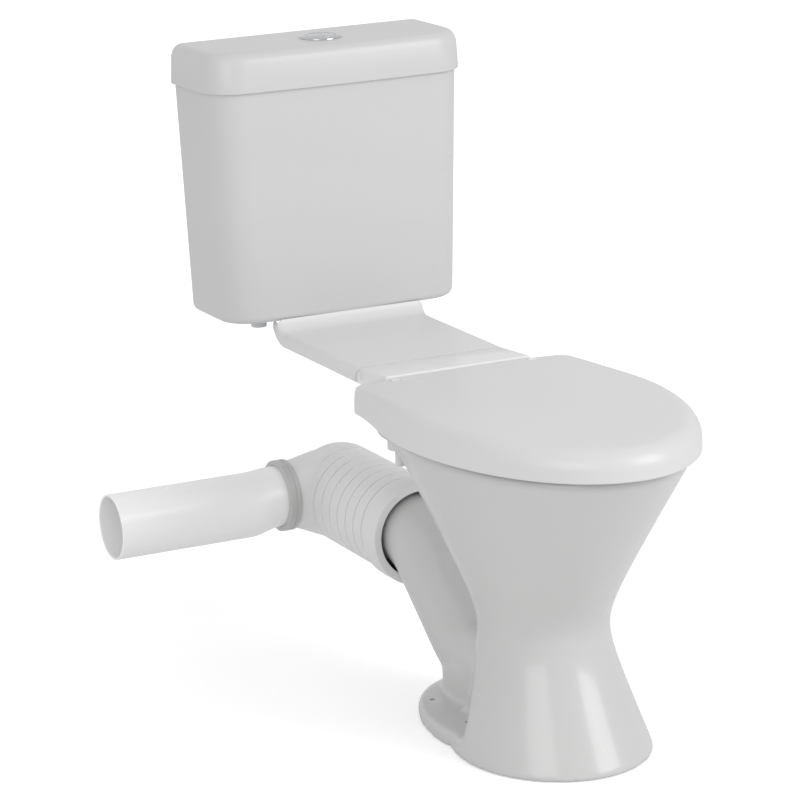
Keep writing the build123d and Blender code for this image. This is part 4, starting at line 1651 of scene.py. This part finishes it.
@dataclass
class Cistern:
    """The tank, its lid and the split button in it."""

    low_z: float = 432.0
    top_z: float = 748.0
    low: BowedBox = BowedBox(168.0, 408.0, 554.0, 46.0, 20.0)
    top: BowedBox = BowedBox(179.0, 402.0, 554.0, 46.0, 20.0)
    wall: float = 4.0
    wall_heights: tuple = (520.0, 600.0, 680.0)
    lip: float = 1.0
    foot_edge: float = 9.0
    valve_y: float = 481.0
    fill_x: float = -92.0
    fill_y: float = 500.0
    outlet_hole: Bore = Bore(420.0, 24.0, 29.3)
    inlet_hole: Bore = Bore(420.0, 24.0, 12.2)
    screw_x: float = 100.0
    screw_z: float = 690.0
    screw_hole: Bore = Bore(540.0, 24.0, 4.0, 32)
    cover_low: float = 735.5
    cover_top: float = 787.0
    cover: BowedBox = BowedBox(183.5, 397.5, 556.0, 50.5, 20.0)
    cover_wall: float = 4.0
    cover_foot: float = 0.8
    cover_draft: float = 2.5
    cover_edge: float = 15.0
    cover_spreads: tuple = (0.985, 0.9, 0.75, 0.55, 0.3, 0.08)
    cover_play: float = 0.5
    hollow_over: float = 2.0
    hollow_steps: tuple = ((4.5, 16.0), (9.0, 7.0), (14.0, 4.0))
    button_y: float = 470.0
    button_hole: Bore = Bore(770.0, 30.0, 21.8)
    bezel_profile: tuple = (
        (21.5, -26.0), (21.5, 0.0), (27.6, 0.0), (28.0, 0.4), (27.7, 1.2), (26.0, 2.3),
        (24.0, 2.9), (21.5, 3.2), (20.6, 3.0), (19.9, 2.5), (19.5, 1.6), (19.5, -26.0),
    )
    button_rise: float = 3.2
    button_profile: tuple = ((19.2, -7.0), (19.2, -1.0), (18.9, -0.3), (18.2, 0.0))
    button_sides: int = 96
    button_gap: float = 0.3
    button_edge: float = 0.8
    stem_x: float = 9.6
    stem: Bore = Bore(749.2, 34.5, 3.0, 24)

    def _between(self, height: float) -> BowedBox:
        """The tank's outline at a height.

        Args:
            height: The height.

        Returns:
            The outline.
        """
        low, top = self.low, self.top
        share = (height - self.low_z) / (self.top_z - self.low_z)
        half_width = part_way(low.half_width, top.half_width, share)
        front = part_way(low.front, top.front, share)
        return BowedBox(half_width, front, low.back, low.corner, low.back_corner)

    def _tank(self) -> bpy.types.Object:
        """The open tank.

        Returns:
            The tank.
        """
        straight = self.low_z + self.foot_edge
        heights = (straight, *self.wall_heights)
        rings = [self.low.points(self.foot_edge, self.low_z)]
        rings += [self.low.points(inward, straight - up) for inward, up in reversed(quarter(self.foot_edge))]
        rings += [self._between(height).points(0.0, height) for height in (*heights, self.top_z - self.lip)]
        rings += [self.top.points(inset, self.top_z) for inset in (self.lip, self.wall - self.lip)]
        rings += [self.top.points(self.wall, self.top_z - self.lip)]
        rings += [self._between(height).points(self.wall, height) for height in reversed(heights)]
        rings += [self.low.points(self.foot_edge, self.low_z + self.wall)]
        tank = stacked("cistern_tank", rings).closed()
        carve(tank, self.outlet_hole.solid("outlet_hole", Axis.Z, 0, self.valve_y))
        carve(tank, self.inlet_hole.solid("inlet_hole", Axis.Z, self.fill_x, self.fill_y))
        for x in (-self.screw_x, self.screw_x):
            carve(tank, self.screw_hole.solid("wall_screw_hole", Axis.Y, x, self.screw_z))
        return tank

    def _cover(self) -> bpy.types.Object:
        """The lid of the tank.

        Returns:
            The lid, with its hole for the button.
        """
        low, top, edge = self.cover_low, self.cover_top, self.cover_edge
        slope = self.cover_draft / (top - low)
        shoulder = top - edge
        rings = [self.cover.points(self.cover_wall, low), self.cover.points(self.cover_foot, low)]
        rings += [self.cover.points(0.0, low + self.cover_foot)]
        rings += [self.cover.points(slope * (shoulder - low), shoulder)]
        for inward, up in quarter(edge, 10):
            rings.append(self.cover.points(self.cover_draft + inward, shoulder + up))
        rings += [self.cover.points(self.cover_draft + edge, top, spread) for spread in self.cover_spreads]
        cover = stacked("cistern_lid", rings).closed()
        rebate = [self.top.points(-self.cover_play, z) for z in (low - self.hollow_over, self.top_z)]
        carve(cover, stacked("rebate", rebate).closed())
        hollow = [self.top.points(self.wall, self.top_z - self.hollow_over)]
        hollow += [self.top.points(inset, top - down) for inset, down in self.hollow_steps]
        carve(cover, stacked("hollow", hollow).closed())
        carve(cover, self.button_hole.solid("button_hole", Axis.Z, 0, self.button_y))
        return cover

    def _bezel(self) -> bpy.types.Object:
        """The chrome bezel with its sleeve.

        Returns:
            The bezel.
        """
        stations = [((0, self.button_y, self.cover_top + up), radius) for radius, up in self.bezel_profile]
        return turned("button_bezel", Axis.Z, stations, self.button_sides).looped()

    def _button(self, name: str, side: int) -> bpy.types.Object:
        """One half of the split button.

        Args:
            name: The piece's name.
            side: 1 for the right half, -1 for the left half.

        Returns:
            The half with its stem.
        """
        top = self.cover_top + self.button_rise
        stations = [((0, self.button_y, top + up), radius) for radius, up in self.button_profile]
        half = turned(name, Axis.Z, stations, self.button_sides).closed()
        with editing(half):
            bpy.ops.mesh.select_all(action="SELECT")
            bpy.ops.mesh.bisect(
                plane_co=(side * self.button_gap, self.button_y, top), plane_no=(side, 0, 0),
                use_fill=True, clear_inner=True,
            )
        reach = self.button_gap + 0.1
        with editing(half):
            pick_edges(half, lambda middle, way: abs(middle.x) < reach and middle.z > top - 0.5)
            bpy.ops.mesh.bevel(offset=self.button_edge, segments=3)
        carve(half, self.stem.solid("stem", Axis.Z, side * self.stem_x, self.button_y), Work.JOIN)
        return half

    def build(self) -> None:
        """Models the cistern's pieces and hands them over."""
        finish_piece(self._tank(), Body.SUITE, ["cistern_tank"], Finish.CISTERN)
        finish_piece(self._cover(), Body.CISTERN_LID, ["cistern_lid"], Finish.CISTERN)
        finish_piece(self._bezel(), Body.CISTERN_LID, ["button_bezel"], Finish.CHROME)
        full, half = self._button("full_flush_button", 1), self._button("half_flush_button", -1)
        finish_piece(full, Body.FULL_BUTTON, ["full_flush_button"], Finish.CHROME)
        finish_piece(half, Body.HALF_BUTTON, ["half_flush_button"], Finish.CHROME)
        for node in ("bezel_nut", "outlet_nut"):
            dress(node, Finish.NUT)
        for node in ("flush_valve_frame", "flush_valve_tube", "fill_valve", "fill_nut"):
            dress(node, Finish.VALVE)
        dress("float_cup", Finish.FLOAT)
        for node in ("flush_valve_seal", "outlet_washer", "fill_washer"):
            dress(node, Finish.RUBBER)


# Link between pan and cistern

@dataclass
class Link:
    """The cover between pan and cistern and the flush pipe under it."""

    front: float = 177.0
    back: float = 440.0
    front_half: float = 104.5
    back_half: float = 105.5
    low: float = 403.0
    top: float = 420.0
    wall: float = 3.5
    edge: float = 9.0
    side_foot: float = 2.0
    least_side: float = 3.0
    corner_steps: int = 8
    front_lip: float = 1.0
    flat_marks: tuple = (60.0, 20.0, 0.0)
    rise: float = 411.5
    rise_round: float = 22.0
    rise_steps: int = 12
    tank_low: float = 432.0
    cove_height: float = 3.0
    cove_length: float = 6.3
    cove_shares: tuple = (0.4, 0.7, 1.0)
    tail: float = 34.0
    hollow_over: float = 4.0
    pipe_radius: float = 21.0
    pipe_wall: float = 2.2
    pipe_z: float = 364.0
    pipe_top: float = 424.0
    pipe_front: float = 142.0
    pipe_back: float = 481.0
    pipe_bend: float = 46.0
    pipe_steps: int = 12
    pipe_sides: int = 40

    def _section(self, y: float, top: float, inset: float, low: float) -> Ring:
        """The channel's outline square to Y.

        Args:
            y: Where it stands.
            top: The height of its top.
            inset: How far inside the cover.
            low: The height of its foot.

        Returns:
            Its points, with rounded upper corners.
        """
        grow = (self.back_half - self.front_half) / (self.back - self.front)
        half = self.front_half - inset + grow * (y - self.front)
        corner = min(self.edge - inset, top - low - self.least_side)
        right = [(half, low), (half, low + self.side_foot)]
        for index in range(self.corner_steps + 1):
            turn = math.pi / 2 * index / self.corner_steps
            right.append((half - corner + corner * math.cos(turn), top - corner + corner * math.sin(turn)))
        left = [(-x, z) for x, z in reversed(right)]
        return [Vector((x, y, z)) for x, z in right + left]

    def _low_edge(self, past: float) -> float:
        """The height of the side walls' lower edge, which turns up under the tank.

        Args:
            past: How far behind the foot of the rise.

        Returns:
            The height.
        """
        reach = self.rise_round + self.top - self.low
        return self.low + reach - math.sqrt(reach ** 2 - max(0.0, past) ** 2)

    def _channel(self, name: str, inset: float, over: float) -> bpy.types.Object:
        """A low channel that rises to the tank at its back.

        Args:
            name: Its name.
            inset: How far inside the cover.
            over: How far it runs past the cover's ends.

        Returns:
            The closed solid.
        """
        flat = self.top - inset
        foot = self.rise - self.rise_round
        bend = self.rise_round + inset
        meeting = self.tank_low + self.cove_height + over
        last = math.acos((self.rise_round + self.top - meeting) / self.rise_round)
        places = [(y - over, flat) for y in (self.front, self.front + self.front_lip)]
        places += [(foot - ahead, flat) for ahead in self.flat_marks]
        for index in range(1, self.rise_steps + 1):
            turn = last * index / self.rise_steps
            places.append((foot + bend * math.sin(turn), flat + bend * (1 - math.cos(turn))))
        start = places[-1][0]
        for share in self.cove_shares:
            fall = self.cove_height * (1 - share) ** 2
            places.append((start + share * self.cove_length, self.tank_low + over + fall))
        places.append((foot + self.tail + over, self.tank_low + over))
        rings = []
        for y, top in places:
            low = self.low - over if over else self._low_edge(y - foot)
            rings.append(self._section(y, top, inset, low))
        return stacked(name, rings).closed()

    def _cover(self) -> bpy.types.Object:
        """The cover: a low channel, open below.

        Returns:
            The cover.
        """
        cover = self._channel("link_cover", 0.0, 0.0)
        carve(cover, self._channel("cover_hollow", self.wall, self.hollow_over))
        return cover

    def _pipe(self) -> bpy.types.Object:
        """The bent flush pipe.

        Returns:
            The pipe with its wall.
        """
        bend, down = self.pipe_bend, math.pi * 3 / 2
        stops = [(Vector((0, self.pipe_back, self.pipe_top)), down)]
        for index in range(self.pipe_steps + 1):
            turn = math.pi / 2 * index / self.pipe_steps
            y = self.pipe_back - bend + bend * math.cos(turn)
            stops.append((Vector((0, y, self.pipe_z + bend - bend * math.sin(turn))), down - turn))
        stops.append((Vector((0, self.pipe_front, self.pipe_z)), math.pi))
        outer, inner = self.pipe_radius, self.pipe_radius - self.pipe_wall
        rings = [across(place, slope, outer, self.pipe_sides) for place, slope in stops]
        rings += [across(place, slope, inner, self.pipe_sides) for place, slope in reversed(stops)]
        return stacked("flush_pipe", rings).looped()

    def build(self) -> None:
        """Models the cover and the pipe and hands them over."""
        finish_piece(self._cover(), Body.SUITE, ["link_cover"], Finish.LINK)
        finish_piece(self._pipe(), Body.SUITE, ["flush_pipe"], Finish.PIPE)
        dress("flush_cone_seal", Finish.RUBBER)


# Connector and waste pipe

@dataclass
class Waste:
    """The grooved connector, the swivel ring and the waste pipe."""

    axis_z: float = 178.0
    mouth: float = 218.0
    lip_radius: float = 68.0
    lip_end: float = 256.0
    lip_edge: float = 2.5
    radius: float = 64.5
    back: float = 460.0
    end_steps: int = 18
    bore: float = 57.5
    bore_end: float = 296.0
    bore_over: float = 2.0
    inner: float = 58.0
    inner_steps: int = 12
    first_groove: float = 264.0
    groove_pitch: float = 24.2
    groove_count: int = 8
    groove_width: float = 2.4
    groove_depth: float = 3.2
    groove_floor: float = 0.6
    groove_edge: float = 0.3
    groove_margin: float = 2.0
    neck_y: float = 462.0
    neck_z: float = 184.0
    neck_start: float = -24.0
    neck_end: float = -77.0
    neck_tip: float = -91.0
    neck_radius: float = 44.5
    neck_wall: float = 3.0
    cone_lap: float = 16.0
    cone_sink: float = 0.3
    cone_lap_sink: float = 1.0
    cone_steps: int = 8
    cone_softness: float = 0.35
    collar_start: float = -77.5
    collar_end: float = -94.5
    collar_radius: float = 47.5
    collar_edge: float = 1.2
    collar_groove: tuple = ((6.0, 0.0), (6.6, 0.9), (7.8, 0.9), (8.4, 0.0))
    collar_play: float = 0.5
    tip_play: float = 0.2
    spigot: float = 40.6
    spigot_start: float = -79.0
    spigot_end: float = -96.0
    pipe_start: float = -141.0
    pipe_end: float = -332.0
    pipe_radius: float = 43.0
    pipe_wall: float = 2.6
    pipe_edge: float = 0.6
    shift_y: float = -5.0
    shift_z: float = -4.0
    shift_steps: int = 12

    def _along(self, name: str, profile: Sequence[tuple[float, float]], count: int) -> bpy.types.Object:
        """A closed body turned round the connector's axis.

        Args:
            name: Its name.
            profile: Places along Y and the radius at each.
            count: Points in a circle.

        Returns:
            The closed body.
        """
        return turned(name, Axis.Y, [((0, y, self.axis_z), radius) for y, radius in profile], count).closed()

    def _barrel(self) -> bpy.types.Object:
        """The grooved barrel with its lip and round end.

        Returns:
            The closed barrel.
        """
        lip, soft, radius = self.lip_radius, self.lip_edge, self.radius
        rounding = quarter(soft, 4)
        profile = [(self.mouth, lip - soft)]
        profile += [(self.mouth + inward, lip - soft + up) for inward, up in rounding]
        profile += [(self.lip_end - soft, lip)]
        profile += [(self.lip_end - soft + up, lip - inward) for inward, up in rounding]
        profile += [(self.lip_end, radius)]
        half = self.groove_width / 2
        wall = [(half + self.groove_margin, radius), (half + self.groove_edge, radius)]
        wall += [(half, radius - self.groove_edge), (half * self.groove_floor, radius - self.groove_depth)]
        for index in range(self.groove_count):
            y = self.first_groove + index * self.groove_pitch
            profile += [(y - off, depth) for off, depth in wall]
            profile += [(y + off, depth) for off, depth in reversed(wall)]
        profile += [(self.back, radius)]
        for index in range(1, self.end_steps):
            turn = math.pi / 2 * index / self.end_steps
            profile.append((self.back + radius * math.sin(turn), radius * math.cos(turn)))
        return self._along("pan_connector", profile, 96)

    def _cone(self, name: str, ball: float, tip: float, over: float) -> bpy.types.Object:
        """The cone and neck to the left.

        Args:
            name: The solid's name.
            ball: Radius of the round end that it leaves.
            tip: The neck's radius.
            over: How far it runs past the neck's tip.

        Returns:
            The closed solid.
        """
        start = math.sqrt(ball ** 2 - self.neck_start ** 2) - self.cone_sink
        stations = [
            ((self.neck_start + self.cone_lap, self.back, self.axis_z), start - self.cone_lap_sink),
            ((self.neck_start, self.back, self.axis_z), start),
        ]
        for index in range(1, self.cone_steps + 1):
            share = index / self.cone_steps
            growth = eased(share) * self.cone_softness + share * (1 - self.cone_softness)
            place = (
                part_way(self.neck_start, self.neck_end, share),
                part_way(self.back, self.neck_y, share),
                part_way(self.axis_z, self.neck_z, share),
            )
            stations.append((place, part_way(start, tip, growth)))
        stations.append(((self.neck_tip - over, self.neck_y, self.neck_z), tip))
        return turned(name, Axis.X, stations, 80).closed()

    def _connector(self) -> bpy.types.Object:
        """The whole connector, hollow from mouth to neck.

        Returns:
            The connector.
        """
        connector = self._barrel()
        carve(connector, self._cone("cone", self.radius, self.neck_radius, 0.0), Work.JOIN)
        inner = self.inner
        profile = [(self.mouth - self.bore_over, self.bore), (self.bore_end, self.bore)]
        profile += [(self.bore_end, inner), (self.back, inner)]
        for index in range(1, self.inner_steps):
            turn = math.pi / 2 * index / self.inner_steps
            profile.append((self.back + inner * math.sin(turn), inner * math.cos(turn)))
        carve(connector, self._along("hollow", profile, 80))
        carve(connector, self._cone("neck_hollow", inner, self.neck_radius - self.neck_wall, self.bore_over))
        return connector

    def _ring(self) -> bpy.types.Object:
        """The collar on the neck.

        Returns:
            The collar.
        """
        start, end, outer, edge = self.collar_start, self.collar_end, self.collar_radius, self.collar_edge
        tip, play = self.neck_tip - self.tip_play, self.spigot + self.collar_play
        profile = [(start, self.neck_radius), (start, outer - edge), (start - edge, outer)]
        profile += [(start - down, outer - inward) for down, inward in self.collar_groove]
        profile += [(end + edge, outer), (end, outer - edge), (end, play)]
        profile += [(tip, play), (tip, self.neck_radius)]
        stations = [((x, self.neck_y, self.neck_z), radius) for x, radius in profile]
        return turned("swivel_ring", Axis.X, stations, 96).looped()

    def _waste_pipe(self) -> bpy.types.Object:
        """The offset pipe, open at its left end.

        Returns:
            The pipe with its wall.
        """
        neck_y, neck_z, wall, edge = self.neck_y, self.neck_z, self.pipe_wall, self.pipe_edge
        outer = [((x, neck_y, neck_z), self.spigot) for x in (self.spigot_start, self.spigot_end)]
        for index in range(1, self.shift_steps + 1):
            share = index / self.shift_steps
            shift = eased(share)
            place = (
                part_way(self.spigot_end, self.pipe_start, share),
                neck_y + self.shift_y * shift, neck_z + self.shift_z * shift,
            )
            outer.append((place, part_way(self.spigot, self.pipe_radius, shift)))
        y, z = neck_y + self.shift_y, neck_z + self.shift_z
        outer += [((self.pipe_end + edge, y, z), self.pipe_radius)]
        outer += [((self.pipe_end, y, z), self.pipe_radius - edge)]
        inner = [((self.pipe_end, y, z), self.pipe_radius - wall + edge)]
        inner += [(place, radius - wall) for place, radius in reversed(outer[:-1])]
        return turned("waste_pipe", Axis.X, outer + inner, 96).looped()

    def build(self) -> None:
        """Models the waste pieces and hands them over."""
        finish_piece(self._connector(), Body.SUITE, ["pan_connector"], Finish.CONNECTOR, crease=24.0)
        finish_piece(self._ring(), Body.SUITE, ["swivel_ring"], Finish.COLLAR)
        finish_piece(self._waste_pipe(), Body.WASTE_PIPE, ["waste_pipe"], Finish.PIPE)
        for node in ("socket_seal", "neck_seal"):
            dress(node, Finish.RUBBER)


# Studio

@dataclass(frozen=True)
class Lamp:
    """A soft square lamp that faces the suite, with its power in watts."""

    name: str
    place: tuple
    size: float
    power: float
    target: tuple = (0.0, 0.1, 0.4)

    def hang(self) -> None:
        """Adds the lamp to the scene."""
        data = bpy.data.lights.new(self.name, "AREA")
        data.size = self.size
        data.energy = self.power
        lamp = bpy.data.objects.new(self.name, data)
        bpy.context.scene.collection.objects.link(lamp)
        place = Vector(self.place)
        facing = (Vector(self.target) - place).to_track_quat("-Z", "Y").to_matrix().to_4x4()
        lamp.matrix_world = Matrix.Translation(place) @ facing


@dataclass
class Studio:
    """Camera, lamps, floor and surroundings."""

    azimuth: float = 25.5
    elevation: float = 14.5
    roll: float = -2.0
    distance: float = 4.3
    lens: float = 158.67
    sensor: float = 36.0
    view_depth: float = 50.0
    target: tuple = (-0.08715, 0.086, 0.39657)
    lamps: tuple = (
        Lamp("key_lamp", (2.2, -3.0, 2.6), 2.4, 64.0),
        Lamp("left_lamp", (-2.8, -2.2, 2.0), 2.2, 23.0),
    )
    surround: float = 0.70
    mirrored_surround: float = 0.8
    floor_size: float = 30.0
    floor_drop: float = 0.0005
    floor_tone: float = 0.9
    near_glow: float = 0.36
    far_glow: float = 0.6
    near_reach: float = 0.8
    far_reach: float = 4.0

    def _camera(self) -> None:
        """Sets the camera at the photograph's viewing angle."""
        turn, lift = math.radians(self.azimuth), math.radians(self.elevation)
        back = Vector((-math.sin(turn) * math.cos(lift), -math.cos(turn) * math.cos(lift), math.sin(lift)))
        data = bpy.data.cameras.new("camera")
        data.lens = self.lens
        data.sensor_width = self.sensor
        data.clip_end = self.view_depth
        camera = bpy.data.objects.new("camera", data)
        bpy.context.scene.collection.objects.link(camera)
        place = Matrix.Translation(Vector(self.target) + back * self.distance)
        facing = back.to_track_quat("Z", "Y").to_matrix().to_4x4()
        camera.matrix_world = place @ facing @ Matrix.Rotation(math.radians(self.roll), 4, "Z")
        bpy.context.scene.camera = camera

    def _floor(self) -> None:
        """Lays the pale floor, which keeps the suite's shadow."""
        let_go()
        bpy.ops.mesh.primitive_plane_add(size=self.floor_size, location=(0, 0, -self.floor_drop))
        floor = bpy.context.object
        floor.name = "floor"
        hold(floor)
        bpy.ops.object.transform_apply(location=True, rotation=True, scale=True)
        graph = Graph("studio_floor")
        seen = graph.node("ShaderNodeLightPath", {}, {}, output="Is Camera Ray")
        away = graph.node("ShaderNodeVectorMath", {"operation": "LENGTH"}, {0: graph.place}, output="Value")
        level = graph.node("ShaderNodeMapRange", {"interpolation_type": "SMOOTHSTEP"}, {
            "Value": away, "From Min": self.near_reach, "From Max": self.far_reach,
            "To Min": self.near_glow, "To Max": self.far_glow,
        })
        glow = graph.node("ShaderNodeEmission", {}, {"Strength": seen * level})
        graph.shade({"Base Color": (self.floor_tone,) * 3, "Roughness": 1.0, "Specular IOR Level": 0.0})
        plain = Signal(graph, graph.shader.outputs[0])
        both = graph.node("ShaderNodeAddShader", {}, {0: plain, 1: glow})
        graph.feed(graph.tree.nodes["Material Output"].inputs["Surface"], both)
        floor.data.materials.append(graph.material)

    def _world(self) -> None:
        """Surrounds the suite with white that lights it softly."""
        world = bpy.data.worlds.new("surround")
        world.use_nodes = True
        tree = world.node_tree
        background = tree.nodes["Background"]
        background.inputs["Color"].default_value = (1.0, 1.0, 1.0, 1.0)
        rays = tree.nodes.new("ShaderNodeLightPath")
        strength = tree.nodes.new("ShaderNodeValue").outputs[0]
        strength.default_value = self.surround
        levels = {"Is Glossy Ray": self.mirrored_surround, "Is Camera Ray": 1.0, "Is Transmission Ray": 1.0}
        for ray, level in levels.items():
            choice = tree.nodes.new("ShaderNodeMix")
            tree.links.new(rays.outputs[ray], choice.inputs["Factor"])
            tree.links.new(strength, choice.inputs["A"])
            choice.inputs["B"].default_value = level
            strength = choice.outputs["Result"]
        tree.links.new(strength, background.inputs["Strength"])
        bpy.context.scene.world = world

    def build(self) -> None:
        """Sets up the whole studio."""
        bpy.context.scene.view_settings.view_transform = "Standard"
        self._camera()
        for lamp in self.lamps:
            lamp.hang()
        self._floor()
        self._world()


def main() -> None:
    """Builds the suite piece by piece, then the studio round it."""
    logging.basicConfig(level=logging.INFO, format="%(name)s %(message)s")
    for part in (Pan(), Seat(), Cistern(), Link(), Waste(), Studio()):
        part.build()
        LOG.info("%s is built", type(part).__name__)
    let_go()


if __name__ == "__main__":
    main()
